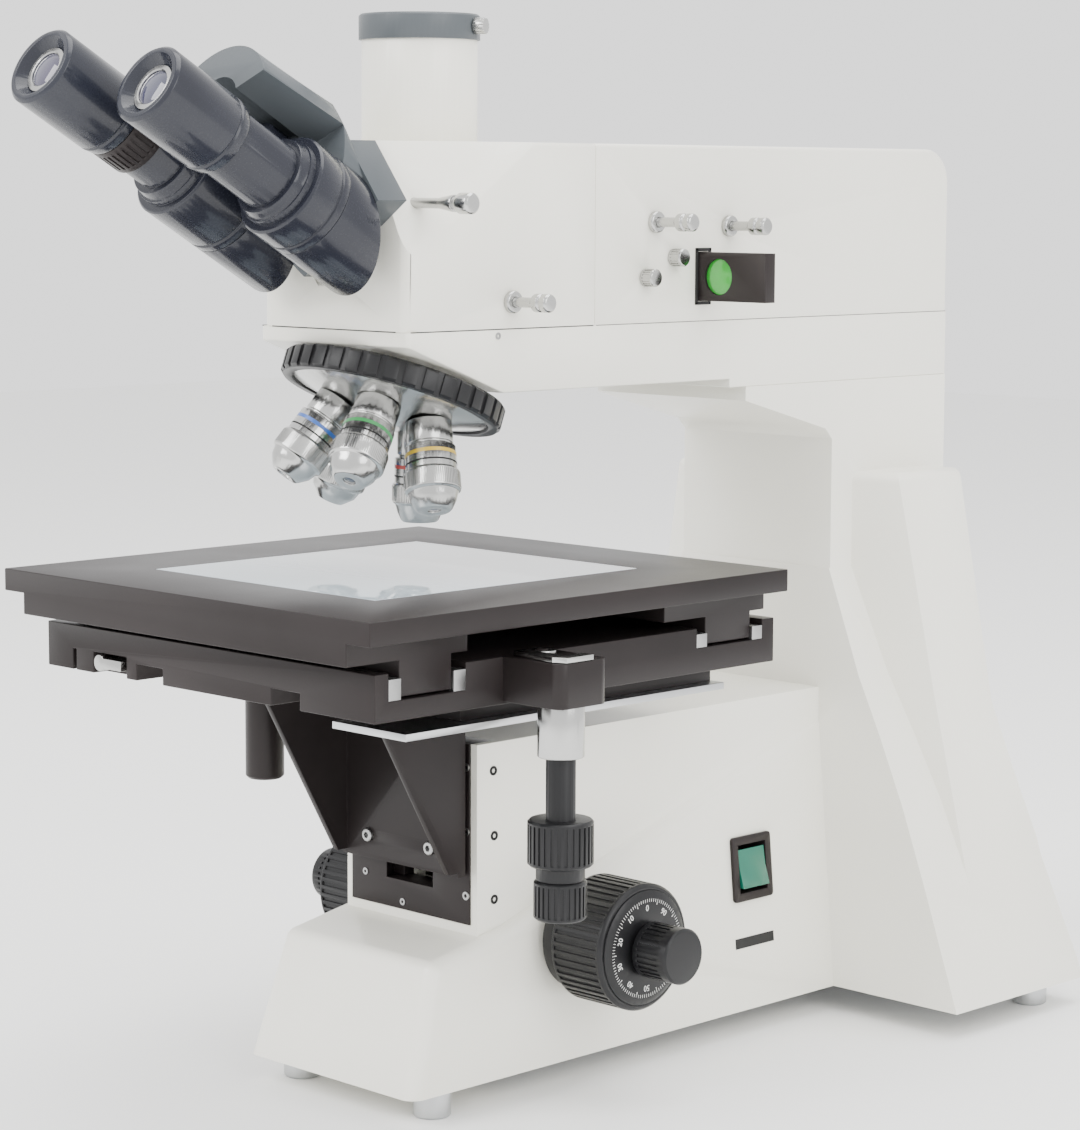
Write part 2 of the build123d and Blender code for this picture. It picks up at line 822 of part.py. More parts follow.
# Coarse focus: sleeve with the pinion, knobs on both sides
sleeve_radius = 6.0
fine_shaft_radius = 3.0
coarse_radius = 32.0
coarse_inner = 70.0
coarse_outer = 104.4
knob_chamfer = 1.5
pinion_half = 7.0
coarse_flutes = 48
coarse_flute_depth = 0.9
coarse_flute_width = 2.0
gear_root_taper = 0.8
pinion_root = pinion_pitch_radius - tooth_dedendum
pinion_tip = pinion_pitch_radius + tooth_addendum
with BuildPart() as coarse_shaft:
    turned(
        [(1 - coarse_outer, sleeve_radius), (coarse_outer - 3, sleeve_radius)],
        shaft_plane,
        bore=fine_shaft_radius + shaft_gap,
    )
    with BuildSketch(shaft_plane.offset(-pinion_half)):
        Circle(pinion_root)
        with PolarLocations(0, pinion_teeth, start_angle=180 / pinion_teeth):
            outline(
                [
                    (pinion_root - 0.5, -root_half * gear_root_taper),
                    (pinion_root, -root_half * gear_root_taper),
                    (pinion_pitch_radius, -tooth_half),
                    (pinion_tip, -tip_half),
                    (pinion_tip, tip_half),
                    (pinion_pitch_radius, tooth_half),
                    (pinion_root, root_half * gear_root_taper),
                    (pinion_root - 0.5, root_half * gear_root_taper),
                ]
            )
        Circle(fine_shaft_radius + shaft_gap, mode=Mode.SUBTRACT)
    extrude(amount=2 * pinion_half)
save(coarse_shaft, "coarse_shaft")

dial_radius = 28.9
dial_recess = 2.0
with BuildPart() as coarse_knobs:
    for side in (-1, 1):
        knob_plane = Plane(origin=shaft_centre, x_dir=(0, 1, 0), z_dir=(side, 0, 0))
        turned(
            [
                (coarse_inner, coarse_radius - knob_chamfer),
                (coarse_inner + knob_chamfer, coarse_radius),
                (coarse_outer - knob_chamfer, coarse_radius),
                (coarse_outer, coarse_radius - knob_chamfer),
                (coarse_outer, dial_radius + slide_gap),
                (coarse_outer - dial_recess, dial_radius + slide_gap),
            ],
            knob_plane,
            bore=sleeve_radius,
        )
        flutes(
            knob_plane,
            coarse_radius,
            coarse_inner + 2 * knob_chamfer,
            coarse_outer - coarse_inner - 4 * knob_chamfer,
            coarse_flutes,
            coarse_flute_depth,
            coarse_flute_width,
        )
save(coarse_knobs, "coarse_knobs")

# Torque ring between the right-hand knob and the base
tension_radius = 28.0
tension_outer = coarse_inner - 0.5
with BuildPart() as tension_ring:
    turned(
        [
            (focus_boss_face + seat_gap, tension_radius - 1),
            (focus_boss_face + seat_gap + 1, tension_radius),
            (tension_outer, tension_radius),
        ],
        shaft_plane,
        bore=sleeve_radius + seat_gap,
    )
save(tension_ring, "tension_ring")

# Fine focus: through shaft, small knobs and the graduated dial
fine_radius = 14.0
fine_outer = 131.3
fine_hub_radius = 9.8
fine_hub_length = 3.0
fine_flutes = 30
dial_face = 106.4
dial_bevel = 4.0
with BuildPart() as fine_knobs:
    turned(
        [
            (fine_hub_length - fine_outer, fine_shaft_radius),
            (fine_outer - fine_hub_length, fine_shaft_radius),
        ],
        shaft_plane,
    )
    for side in (-1, 1):
        knob_plane = Plane(origin=shaft_centre, x_dir=(0, 1, 0), z_dir=(side, 0, 0))
        turned(
            [
                (dial_face + seat_gap, fine_hub_radius),
                (dial_face + fine_hub_length, fine_hub_radius),
                (dial_face + fine_hub_length, fine_radius),
                (fine_outer - 1, fine_radius),
                (fine_outer, fine_radius - 1),
            ],
            knob_plane,
        )
        flutes(
            knob_plane,
            fine_radius,
            dial_face + 2 * fine_hub_length,
            fine_outer - dial_face - 4 * fine_hub_length,
            fine_flutes,
            knob_flute_depth,
            knob_flute_width,
        )
save(fine_knobs, "fine_knobs")

with BuildPart() as fine_dial:
    turned(
        [
            (coarse_outer - dial_recess + seat_gap, dial_radius),
            (coarse_outer + 0.5, dial_radius),
            (dial_face, dial_radius - dial_bevel),
        ],
        shaft_plane,
        bore=fine_shaft_radius,
    )
save(fine_dial, "fine_dial")

# Tilted nosepiece: fixed mount, turning bowl with grip ring, five objectives
turret_plane = Plane(origin=apex, x_dir=(1, 0, 0), z_dir=turret_axis)
mount_radius = 40.0
ring_near = 43.8
ring_far = 55.8
ring_radius = 56.0
ring_bore = 50.0
pivot_radius = 6.0
shoulder_distance = 67.5
objective_length = 45.0
objective_count = 5
bowl_cap = 12.0
bowl_brim = 1.5
bowl_land = 12.0
pivot_head = 2.0
pivot_proud = 4.0
objective_bore = 8.0
bowl_slope = tan(turret_tilt)
seat_along = shoulder_distance * cos(turret_tilt)
seat_radius = shoulder_distance * sin(turret_tilt)


def bowl_depth(radius):
    """Distance from the apex plane to the conical face that carries the objectives."""
    return seat_along - (radius - seat_radius) * bowl_slope


def objective_plane(index):
    """Seat of one objective, facing down its own axis."""
    angle = 2 * pi * index / objective_count
    rearward = Vector(0, cos(turret_tilt), -sin(turret_tilt))
    radial = rearward * cos(angle) + Vector(1, 0, 0) * sin(angle)
    direction = turret_axis * cos(turret_tilt) + radial * sin(turret_tilt)
    side = direction.cross(turret_axis)
    return Plane(origin=apex + direction * shoulder_distance, x_dir=side, z_dir=direction)


with BuildPart() as nosepiece_mount:
    turned(
        [
            (arm_face_distance, mount_radius),
            (ring_near, mount_radius),
            (ring_near, pivot_radius * 2),
            (ring_near + pivot_head, pivot_radius),
            (bowl_depth(bowl_cap) + pivot_proud, pivot_radius),
        ],
        turret_plane,
    )
    with BuildSketch(Plane.XY.offset(arm_underside - 40)):
        Circle(objective_bore)
    extrude(amount=60, mode=Mode.SUBTRACT)
save(nosepiece_mount, "nosepiece_mount")

with BuildPart() as nosepiece_bowl:
    turned(
        [
            (ring_near + seat_gap, ring_bore),
            (bowl_depth(ring_bore) + bowl_brim, ring_bore),
            (bowl_depth(seat_radius + bowl_land), seat_radius + bowl_land),
            (bowl_depth(bowl_cap), bowl_cap),
        ],
        turret_plane,
        bore=pivot_radius + shaft_gap,
    )
    turned(
        [
            (ring_near, pivot_radius * 2 + seat_gap),
            (ring_near + pivot_head + seat_gap, pivot_radius * 2 + seat_gap),
        ],
        turret_plane,
        mode=Mode.SUBTRACT,
    )
    for index in range(objective_count):
        with BuildSketch(objective_plane(index).offset(-30)):
            Circle(objective_bore)
        extrude(amount=60, mode=Mode.SUBTRACT)
save(nosepiece_bowl, "nosepiece_bowl")

grip_ribs = 36
grip_rib_depth = 1.2
grip_rib_gap = 3.2
ring_chamfer = 1.5
with BuildPart() as nosepiece_ring:
    turned(
        [
            (ring_near, ring_radius - ring_chamfer),
            (ring_near + ring_chamfer, ring_radius),
            (ring_far - ring_chamfer, ring_radius),
            (ring_far, ring_radius - ring_chamfer),
        ],
        turret_plane,
        bore=ring_bore,
    )
    flutes(
        turret_plane,
        ring_radius,
        ring_near - 1,
        ring_far - ring_near + 2,
        grip_ribs,
        grip_rib_depth,
        grip_rib_gap,
    )
save(nosepiece_ring, "nosepiece_ring")

# Barrel of an objective as (distance from its shoulder, radius), and the radius of each tip
objective_profile = [
    (0, 11.5),
    (11, 11.5),
    (11.6, 10.7),
    (12.4, 10.7),
    (13, 12.6),
    (25, 12.6),
    (26, 13.75),
    (35, 13.75),
    (36, 12.45),
    (40, 11.25),
]
objective_tips = {
    "objective_5x": 9.5,
    "objective_10x": 9.0,
    "objective_20x": 8.5,
    "objective_50x": 8.0,
    "objective_100x": 7.5,
}
tip_chamfer = 1.0
rear_bore = 7.0
rear_bore_depth = 8.0
front_bore = 3.2
front_bore_depth = 1.2
for index, (objective_name, tip_radius) in enumerate(objective_tips.items()):
    seat = objective_plane(index)
    with BuildPart() as objective:
        turned(
            objective_profile
            + [
                (objective_length - tip_chamfer, tip_radius),
                (objective_length, tip_radius - tip_chamfer),
            ],
            seat,
        )
        with BuildSketch(seat):
            Circle(rear_bore)
        extrude(amount=rear_bore_depth, mode=Mode.SUBTRACT)
        with BuildSketch(seat.offset(objective_length)):
            Circle(front_bore)
        extrude(amount=-front_bore_depth, mode=Mode.SUBTRACT)
    save(objective, objective_name)

# Binocular head: flange and roof, with the prism housings hinged beneath the roof
eye_half_spacing = 29.2
hinge_above = 24.3
hinge_radius = 5.0
roof_radius = 31.0
roof_front = 98.0
housing_radius = 25.5
block_front = 46.0
lug_split = 56.0
right_housing_front = 66.0
left_housing_front = 83.0
lug_radius = 9.0
flange_depth = 18.0
flange_apex = 409.4
flange_corner = (53.0, 446.0)
roof_opening = 34.0
sweep_radius = 66.0
tube_swing = radians(30.5)
web_angle = atan2(hinge_above, eye_half_spacing)
web_corner_radius = lug_radius / sin(radians(roof_opening) + web_angle - tube_swing)
eye_bore = 13.0
flange_front = head_front - flange_depth
prism_gap = 0.3
roof_section = [(-52, 22), (-26, 56), (26, 56), (52, 22), (40, -10), (-40, -10)]
with BuildPart() as hinge_block:
    with BuildSketch(tube_plane(along=-block_front)):
        with Locations((-eye_half_spacing, 0), (eye_half_spacing, 0)):
            Circle(housing_radius)
        Rectangle(2 * eye_half_spacing, housing_radius)
        with Locations((0, hinge_above - lug_radius)):
            Rectangle(4 * lug_radius, 4 * lug_radius)
    extrude(amount=2 * block_front)
    block(
        (-sweep_radius, sweep_radius),
        (flange_front, flange_front + 2 * cut_reach),
        (flange_apex - cut_reach, flange_apex + cut_reach),
        mode=Mode.SUBTRACT,
    )
    with BuildSketch(tube_plane(along=-block_front)):
        with Locations((-eye_half_spacing, 0), (eye_half_spacing, 0)):
            Circle(eye_bore)
    extrude(amount=2 * block_front, mode=Mode.SUBTRACT)
    with BuildSketch(tube_plane(along=block_front - 1)):
        with Locations((0, hinge_above)):
            Circle(hinge_radius)
    extrude(amount=right_housing_front - block_front)
save(hinge_block, "hinge_block")

with BuildPart() as roof:
    with BuildSketch(tube_plane(along=-block_front / 2)):
        outline(roof_section)
    with BuildSketch(tube_plane(along=roof_front)):
        with Locations((0, hinge_above)):
            Circle(roof_radius)
    loft()
    with BuildSketch(tube_plane(along=block_front)):
        with BuildLine():
            arc = CenterArc((0, hinge_above), sweep_radius, roof_opening, -180 - 2 * roof_opening)
            Polyline(arc @ 1, (0, hinge_above), arc @ 0)
        make_face()
        with Locations((0, hinge_above)):
            Circle(web_corner_radius + 3 * seat_gap)
    extrude(amount=roof_front, mode=Mode.SUBTRACT)
    block(
        (-sweep_radius, sweep_radius),
        (flange_front, flange_front + 2 * cut_reach),
        (flange_apex - cut_reach, flange_apex + cut_reach),
        mode=Mode.SUBTRACT,
    )
with BuildPart() as binocular_body:
    add(roof.part)
    with BuildSketch(front_view.offset(-head_front)):
        outline(
            [
                (0, flange_apex),
                flange_corner,
                (roof_radius, head_top),
                (-roof_radius, head_top),
                (-flange_corner[0], flange_corner[1]),
            ]
        )
    extrude(amount=flange_depth)
    with BuildSketch(tube_plane(along=-3 * housing_wall)):
        Circle(head_window_radius - 3)
    extrude(amount=block_front * 2, mode=Mode.SUBTRACT)
    add(hinge_block.part, mode=Mode.SUBTRACT)
save(binocular_body, "binocular_body")

# Prism housings with their tubes, and the eyepieces
collar_radius = 20.5
tube_radius = 16.5
tube_bore = 11.7
tube_end = 107.0
collar_height = 8.0
collar_step = 1.0
groove_start = block_front + 4.0
groove_side = 0.5
groove_depth = 0.8
eyepiece_radius = 19.3
eyepiece_length = 48.0
eyepiece_spigot = 11.6
spigot_length = 20.0
eye_cup_radius = 15.5
eye_cup_depth = 5.0
eye_cup_round = 1.6
eyepiece_groove = 6.0
eye_lens_radius = 11.5
diopter_length = 17.0
diopter_radius = 18.2
diopter_margin = 3.0
diopter_flutes = 36
housing_spans = {
    1: (block_front + prism_gap, lug_split - prism_gap / 2),
    -1: (lug_split + prism_gap / 2, right_housing_front),
}
housing_fronts = {1: right_housing_front, -1: left_housing_front}
housing_names = {1: "prism_housing_right", -1: "prism_housing_left"}
eyepiece_names = {1: "eyepiece_right", -1: "eyepiece_left"}
eyepiece_starts = {1: tube_end, -1: tube_end + diopter_length + prism_gap}
for side in (1, -1):
    front = housing_fronts[side]
    lug_start, lug_end = housing_spans[side]
    tube_axis = tube_plane(x=side * eye_half_spacing)
    with BuildPart() as prism_housing:
        turned(
            [
                (block_front + prism_gap, housing_radius),
                (groove_start, housing_radius),
                (groove_start + groove_side, housing_radius - groove_depth),
                (groove_start + 3 * groove_side, housing_radius - groove_depth),
                (groove_start + 4 * groove_side, housing_radius),
                (front - collar_step, housing_radius),
                (front, housing_radius - collar_step),
                (front, collar_radius + collar_step),
                (front + 3 * collar_step, collar_radius + collar_step),
                (front + 3 * collar_step, collar_radius),
                (front + collar_height, collar_radius - collar_step),
                (front + collar_height, tube_radius),
                (tube_end, tube_radius),
            ],
            tube_axis,
            bore=tube_bore,
        )
        web_length = (eye_half_spacing ** 2 + hinge_above ** 2) ** 0.5 - tube_radius
        toward = Vector(side * eye_half_spacing, -hinge_above).normalized()
        across_web = Vector(-toward.Y, toward.X)
        root = Vector(0, hinge_above)
        tip = root + toward * web_length
        with BuildSketch(tube_plane(along=lug_start)):
            with Locations((0, hinge_above)):
                Circle(lug_radius)
            outline(
                [
                    (corner.X, corner.Y)
                    for corner in (
                        root + across_web * lug_radius,
                        tip + across_web * lug_radius,
                        tip - across_web * lug_radius,
                        root - across_web * lug_radius,
                    )
                ]
            )
        extrude(amount=lug_end - lug_start)
        with BuildSketch(tube_plane(along=lug_start)):
            with Locations((0, hinge_above)):
                Circle(hinge_radius + shaft_gap)
        extrude(amount=lug_end - lug_start, mode=Mode.SUBTRACT)
        with BuildSketch(tube_axis.offset(block_front)):
            Circle(tube_bore)
        extrude(amount=front - block_front, mode=Mode.SUBTRACT)
    save(prism_housing, housing_names[side])

    start = eyepiece_starts[side]
    with BuildPart() as eyepiece:
        turned(
            [
                (start - spigot_length, eyepiece_spigot),
                (start, eyepiece_spigot),
                (start, eyepiece_radius - 1),
                (start + eyepiece_groove - 1, eyepiece_radius),
                (start + eyepiece_groove, eyepiece_radius - groove_depth),
                (start + eyepiece_groove + 1, eyepiece_radius),
                (start + eyepiece_length - eye_cup_round, eyepiece_radius),
                (start + eyepiece_length, eyepiece_radius - eye_cup_round),
                (start + eyepiece_length, eye_cup_radius),
                (start + eyepiece_length - eye_cup_depth, eye_lens_radius),
            ],
            tube_axis,
        )
    save(eyepiece, eyepiece_names[side])

with BuildPart() as diopter_ring:
    left_tube = tube_plane(x=-eye_half_spacing)
    turned(
        [
            (tube_end + prism_gap, diopter_radius),
            (tube_end + diopter_length, diopter_radius),
        ],
        left_tube,
        bore=eyepiece_spigot + shaft_gap,
    )
    flutes(
        left_tube,
        diopter_radius,
        tube_end + diopter_margin,
        diopter_length - 2 * diopter_margin,
        diopter_flutes,
        knob_flute_depth,
        knob_flute_width,
    )
save(diopter_ring, "diopter_ring")

# Stage levels, measured down from the stage top
stage_centre_y = -15.3
top_plate_half = 135.0
top_plate_depth = 140.0
top_plate_bottom = stage_top - 11.0
slider_bottom = stage_top - 21.5
middle_top = stage_top - 26.2
middle_bottom = stage_top - 48.4
middle_half = 121.0
middle_front = stage_centre_y - 124.4
middle_rear = stage_centre_y + 146.0
front_groove = (stage_centre_y - 116.0, stage_centre_y - 68.6)
rear_groove = (stage_centre_y + 88.3, stage_centre_y + 137.0)
front_groove_floor = stage_top - 39.0
rear_groove_floor = stage_top - 36.0
rail_width = 7.5
slider_half = 119.5
slider_width = 74.0
glass_half = 81.0
glass_depth = 88.0
glass_thickness = 4.0
glass_ledge = 4.0
rail_top_gap = 3.0
with BuildPart() as top_plate:
    front_edge = stage_centre_y - top_plate_depth
    rear_edge_y = stage_centre_y + top_plate_depth
    block((-top_plate_half, top_plate_half), (front_edge, rear_edge_y), (top_plate_bottom, stage_top))
    for slider_front in (front_edge, rear_edge_y - slider_width):
        block(
            (-slider_half, slider_half),
            (slider_front, slider_front + slider_width),
            (slider_bottom, top_plate_bottom),
        )
    for groove, floor in ((front_groove, front_groove_floor), (rear_groove, rear_groove_floor)):
        block(
            (-slider_half, slider_half),
            (groove[0] + rail_width + slide_gap, groove[1] - rail_width - slide_gap),
            (floor + 1, slider_bottom),
        )
    block(
        (-glass_half, glass_half),
        (stage_centre_y - glass_depth, stage_centre_y + glass_depth),
        (stage_top - glass_thickness, stage_top),
        mode=Mode.SUBTRACT,
    )
    block(
        (glass_ledge - glass_half, glass_half - glass_ledge),
        (front_edge + slider_width + glass_ledge, rear_edge_y - slider_width - glass_ledge),
        (top_plate_bottom - 1, stage_top),
        mode=Mode.SUBTRACT,
    )
save(top_plate, "top_plate")

with BuildPart() as glass_plate:
    block(
        (slide_gap - glass_half, glass_half - slide_gap),
        (stage_centre_y - glass_depth + slide_gap, stage_centre_y + glass_depth - slide_gap),
        (stage_top - glass_thickness, stage_top),
    )
save(glass_plate, "glass_plate")

# Middle plate: grooves for the sliders above, guideways below, lock pocket in front
guideway_centres = (-40.0, 60.0)
guideway_half = 10.0
guideway_depth = 8.0
pocket_x = (-100.6, -58.0)
pocket_depth = 7.9
pocket_top = stage_top - 38.0
lock_block_x = (-98.0, -84.0)
with BuildPart() as middle_plate:
    block((-middle_half, middle_half), (middle_front, middle_rear), (middle_bottom, middle_top))
    for groove, floor in ((front_groove, front_groove_floor), (rear_groove, rear_groove_floor)):
        block((-middle_half, middle_half), groove, (floor, middle_top), mode=Mode.SUBTRACT)
    for centre in guideway_centres:
        block(
            (centre - guideway_half, centre + guideway_half),
            (middle_front, middle_rear),
            (middle_bottom, middle_bottom + guideway_depth),
            mode=Mode.SUBTRACT,
        )
    block(
        pocket_x,
        (middle_front, middle_front + pocket_depth),
        (middle_bottom, pocket_top),
        mode=Mode.SUBTRACT,
    )
    block(lock_block_x, (middle_front, middle_front + pocket_depth), (middle_bottom, pocket_top))
save(middle_plate, "middle_plate")

with BuildPart() as slide_rails:
    for groove, floor in ((front_groove, front_groove_floor), (rear_groove, rear_groove_floor)):
        for inner in (groove[0], groove[1] - rail_width):
            block(
                (-middle_half, middle_half),
                (inner, inner + rail_width),
                (floor, middle_top - rail_top_gap),
            )
save(slide_rails, "slide_rails")

# Table plate on the bracket, with the rails that the middle plate runs on
table_x = (-60.0, 100.0)
table_y = (-67.3, 106.7)
table_z = (205.7, 215.0)
rail_gap = 0.2
with BuildPart() as table_plate:
    block(table_x, table_y, table_z)
    for centre in guideway_centres:
        block(
            (centre - guideway_half + rail_gap, centre + guideway_half - rail_gap),
            table_y,
            (table_z[1], middle_bottom + guideway_depth - rail_gap),
        )
save(table_plate, "table_plate")

side_rail_x = (57.0, 107.5)
side_rail_half = 108.7
side_rail_z = (202.2, 205.7)
with BuildPart() as side_rail:
    block(side_rail_x, (-side_rail_half, side_rail_half), side_rail_z)
save(side_rail, "side_rail")

# Stage bracket: upright plate with two gussets, screwed to the focus carriage
bracket_half = 42.8
bracket_front = -14.3
bracket_bottom = 114.0
gusset_thickness = 3.5
gusset_edge = [(-70.3, 205.0), (-62.0, 190.0), (-20.4, 116.3)]
bracket_screw_x = 22.8
bracket_screw_z = 126.0
bracket_screw_radius = 3.5
bracket_screw_head = 2.5
bracket_screw_proud = 2.0
bracket_screw_chamfer = 0.5
bracket_screw_socket = 1.7
with BuildPart() as stage_bracket:
    block((-bracket_half, bracket_half), (bracket_front, bracket_rear), (bracket_bottom, table_z[0]))
    for side in (-1, 1):
        inner = side * (bracket_half - gusset_thickness)
        with BuildSketch(side_view.offset(inner)):
            outline(
                [(bracket_front, table_z[0]), (gusset_edge[0][0], table_z[0])]
                + gusset_edge
                + [(bracket_front, gusset_edge[-1][1])]
            )
        extrude(amount=side * gusset_thickness)
    with BuildSketch(front_view.offset(-bracket_rear)):
        with Locations((-bracket_screw_x, bracket_screw_z), (bracket_screw_x, bracket_screw_z)):
            Circle(bracket_screw_radius)
    extrude(amount=bracket_rear - bracket_front, mode=Mode.SUBTRACT)
save(stage_bracket, "stage_bracket")

shank_radius = bracket_screw_radius - screw_gap
screw_face = bracket_rear - bracket_front + bracket_screw_proud
with BuildPart() as bracket_screws:
    for side in (-1, 1):
        screw_plane = Plane(
            origin=(side * bracket_screw_x, bracket_rear, bracket_screw_z),
            x_dir=(1, 0, 0),
            z_dir=(0, -1, 0),
        )
        turned(
            [
                (0, shank_radius),
                (screw_face - bracket_screw_chamfer, shank_radius),
                (screw_face, shank_radius - bracket_screw_chamfer),
            ],
            screw_plane,
        )
        with BuildSketch(screw_plane.offset(screw_face)):
            RegularPolygon(bracket_screw_socket, 6)
        extrude(amount=-bracket_screw_head, mode=Mode.SUBTRACT)
save(bracket_screws, "bracket_screws")

# Coaxial stage drive on the right of the middle plate
drive_x = 140.0
drive_y = -41.3
drive_block_x = (middle_half, 158.0)
drive_block_y = (-60.4, -27.7)
drive_block_z = (217.0, 238.0)
drive_corner = 6.0
drive_block_roof = 3.0
drive_tube_top = drive_block_z[1] - 4.0
inner_shaft_top = drive_block_z[1] - 5.0
drive_collar_radius = 11.0
collar_bottom = 191.2
collar_chamfer = 0.5
drive_tube_radius = 7.0
upper_knob_z = (140.3, 162.0)
upper_knob_radius = 15.5
upper_knob_flutes = 30
neck_bottom = 133.7
neck_radius = 11.5
lower_knob_z = (114.9, 133.4)
lower_knob_radius = 12.5
lower_knob_flutes = 26
inner_shaft_radius = 3.5
lever_thickness = 2.4
lever_pivot = (131.0, -45.0)
lever_pivot_radius = 3.0
lever_hub_radius = 6.6
drive_axis = Plane((drive_x, drive_y, 0))
with BuildPart() as drive_block:
    block(drive_block_x, drive_block_y, drive_block_z)
    outer_edges = drive_block.edges().filter_by(Axis.Z).group_by(Axis.X)[-1]
    fillet(outer_edges, drive_corner)
    with BuildSketch(drive_axis.offset(drive_block_z[0])):
        Circle(drive_tube_radius + shaft_gap)
    extrude(amount=drive_block_z[1] - drive_block_z[0] - drive_block_roof, mode=Mode.SUBTRACT)
    with BuildSketch(Plane.XY.offset(drive_block_z[1])):
        with Locations(lever_pivot):
            Circle(lever_pivot_radius)
    extrude(amount=lever_thickness + 2 * seat_gap)
save(drive_block, "drive_block")

with BuildPart() as drive_collar:
    turned(
        [
            (collar_bottom, drive_collar_radius - collar_chamfer),
            (collar_bottom + collar_chamfer, drive_collar_radius),
            (drive_block_z[0], drive_collar_radius),
        ],
        drive_axis,
        bore=drive_tube_radius + shaft_gap,
    )
save(drive_collar, "drive_collar")

with BuildPart() as y_drive_knob:
    turned(
        [
            (neck_bottom, neck_radius),
            (upper_knob_z[0], neck_radius),
            (upper_knob_z[0], upper_knob_radius - 1),
            (upper_knob_z[0] + 1, upper_knob_radius),
            (upper_knob_z[1] - 1, upper_knob_radius),
            (upper_knob_z[1], upper_knob_radius - 1),
            (upper_knob_z[1], drive_tube_radius),
            (drive_tube_top, drive_tube_radius),
        ],
        drive_axis,
        bore=inner_shaft_radius + shaft_gap,
    )
    flutes(
        drive_axis,
        upper_knob_radius,
        upper_knob_z[0] + 2,
        upper_knob_z[1] - upper_knob_z[0] - 4,
        upper_knob_flutes,
        knob_flute_depth,
        knob_flute_width,
    )
save(y_drive_knob, "y_drive_knob")

with BuildPart() as x_drive_knob:
    turned(
        [
            (lower_knob_z[0], lower_knob_radius - 1),
            (lower_knob_z[0] + 1, lower_knob_radius),
            (lower_knob_z[1] - 1, lower_knob_radius),
            (lower_knob_z[1], lower_knob_radius - 1),
            (lower_knob_z[1], inner_shaft_radius),
            (inner_shaft_top, inner_shaft_radius),
        ],
        drive_axis,
    )
    flutes(
        drive_axis,
        lower_knob_radius,
        lower_knob_z[0] + 2,
        lower_knob_z[1] - lower_knob_z[0] - 4,
        lower_knob_flutes,
        knob_flute_depth,
        knob_flute_width,
    )
save(x_drive_knob, "x_drive_knob")

# Quick-release lever on top of the drive block
lever_bottom = drive_block_z[1] + seat_gap
lever_points = [
    (124.5, -57.0),
    (152.0, -59.5),
    (158.0, -56.0),
    (158.0, -38.5),
    (151.0, -38.5),
    (151.0, -50.0),
    (124.5, -50.0),
]
with BuildPart() as clutch_lever:
    with BuildSketch(Plane.XY.offset(lever_bottom)):
        outline(lever_points)
        with Locations(lever_pivot):
            Circle(lever_hub_radius)
    extrude(amount=lever_thickness)
    with BuildSketch(Plane.XY.offset(lever_bottom)):
        with Locations(lever_pivot):
            Circle(lever_pivot_radius + shaft_gap)
    extrude(amount=lever_thickness, mode=Mode.SUBTRACT)
save(clutch_lever, "clutch_lever")

# Stage lock in the front pocket of the middle plate, push handle beneath it
lock_x = -77.0
lock_z = stage_top - 42.5
lock_plane = Plane(origin=(lock_x, middle_front, lock_z), x_dir=(1, 0, 0), z_dir=(0, -1, 0))
lock_hub = 4.0
lock_arm_end = 17.0
lock_arm_half = 2.5
lock_proud = 2.0
with BuildPart() as stage_lock_lever:
    with BuildSketch(lock_plane.offset(seat_gap - pocket_depth)):
        Circle(lock_hub)
        outline(
            [
                (0, -lock_arm_half),
                (lock_arm_end, -lock_arm_half),
                (lock_arm_end, lock_arm_half),
                (0, lock_arm_half),
            ]
        )
    extrude(amount=pocket_depth + lock_proud - seat_gap)
save(stage_lock_lever, "stage_lock_lever")

handle_x = -85.0
handle_y = -30.3
handle_radius = 10.0
handle_bottom = 149.0
handle_chamfer = 1.5
with BuildPart() as push_handle:
    turned(
        [
            (handle_bottom, handle_radius - handle_chamfer),
            (handle_bottom + handle_chamfer, handle_radius),
            (middle_bottom, handle_radius),
        ],
        Plane((handle_x, handle_y, 0)),
    )
save(push_handle, "push_handle")

# Plated bushes: two long ones for the focus sleeve, three collars for the pull rods
bush_length = 3.0
bush_chamfer = 0.8
rod_bush_radius = 5.5
rod_reach = 27.0
rod_inner = 12.0
rod_places = [(analyzer_y, analyzer_z)] + rear_rod_places
rod_names = ["analyzer_slide", "field_stop_rod", "aperture_stop_rod"]
with BuildPart() as shaft_bushes:
    for side in (-1, 1):
        turned(
            [(focus_cavity_half - 2, bush_radius), (focus_boss_face, bush_radius)],
            Plane(origin=shaft_centre, x_dir=(0, 1, 0), z_dir=(side, 0, 0)),
            bore=sleeve_radius + shaft_gap,
        )
    for place in rod_places:
        turned(
            [
                (head_half, rod_bush_radius),
                (head_half + bush_length - bush_chamfer, rod_bush_radius),
                (head_half + bush_length, rod_bush_radius - bush_chamfer),
            ],
            Plane(origin=(0, place[0], place[1]), x_dir=(0, 1, 0), z_dir=(1, 0, 0)),
            bore=rod_radius + shaft_gap,
        )
save(shaft_bushes, "shaft_bushes")

# Pull rods with waisted knobs, as (distance back from the outer end, radius)
rod_knob_profile = [(12, 2.5), (10, 4.5), (6.5, 4.5), (5.5, 3.3), (4.5, 4.5), (1, 4.5), (0, 3.5)]
stop_plate_half = 14.0
stop_plate_thickness = 3.0
for name, place in zip(rod_names, rod_places):
    rod_plane = Plane(origin=(0, place[0], place[1]), x_dir=(0, 1, 0), z_dir=(1, 0, 0))
    rod_end = head_half + rod_reach
    with BuildPart() as pull_rod:
        turned(
            [(rod_inner, rod_radius)]
            + [(rod_end - back, radius) for back, radius in rod_knob_profile],
            rod_plane,
        )
        block(
            (-stop_plate_half, stop_plate_half),
            (place[0] - stop_plate_thickness, place[0] + stop_plate_thickness),
            (max(place[1] - stop_plate_half, arm_top + seat_gap), place[1] + stop_plate_half),
        )
    save(pull_rod, name)

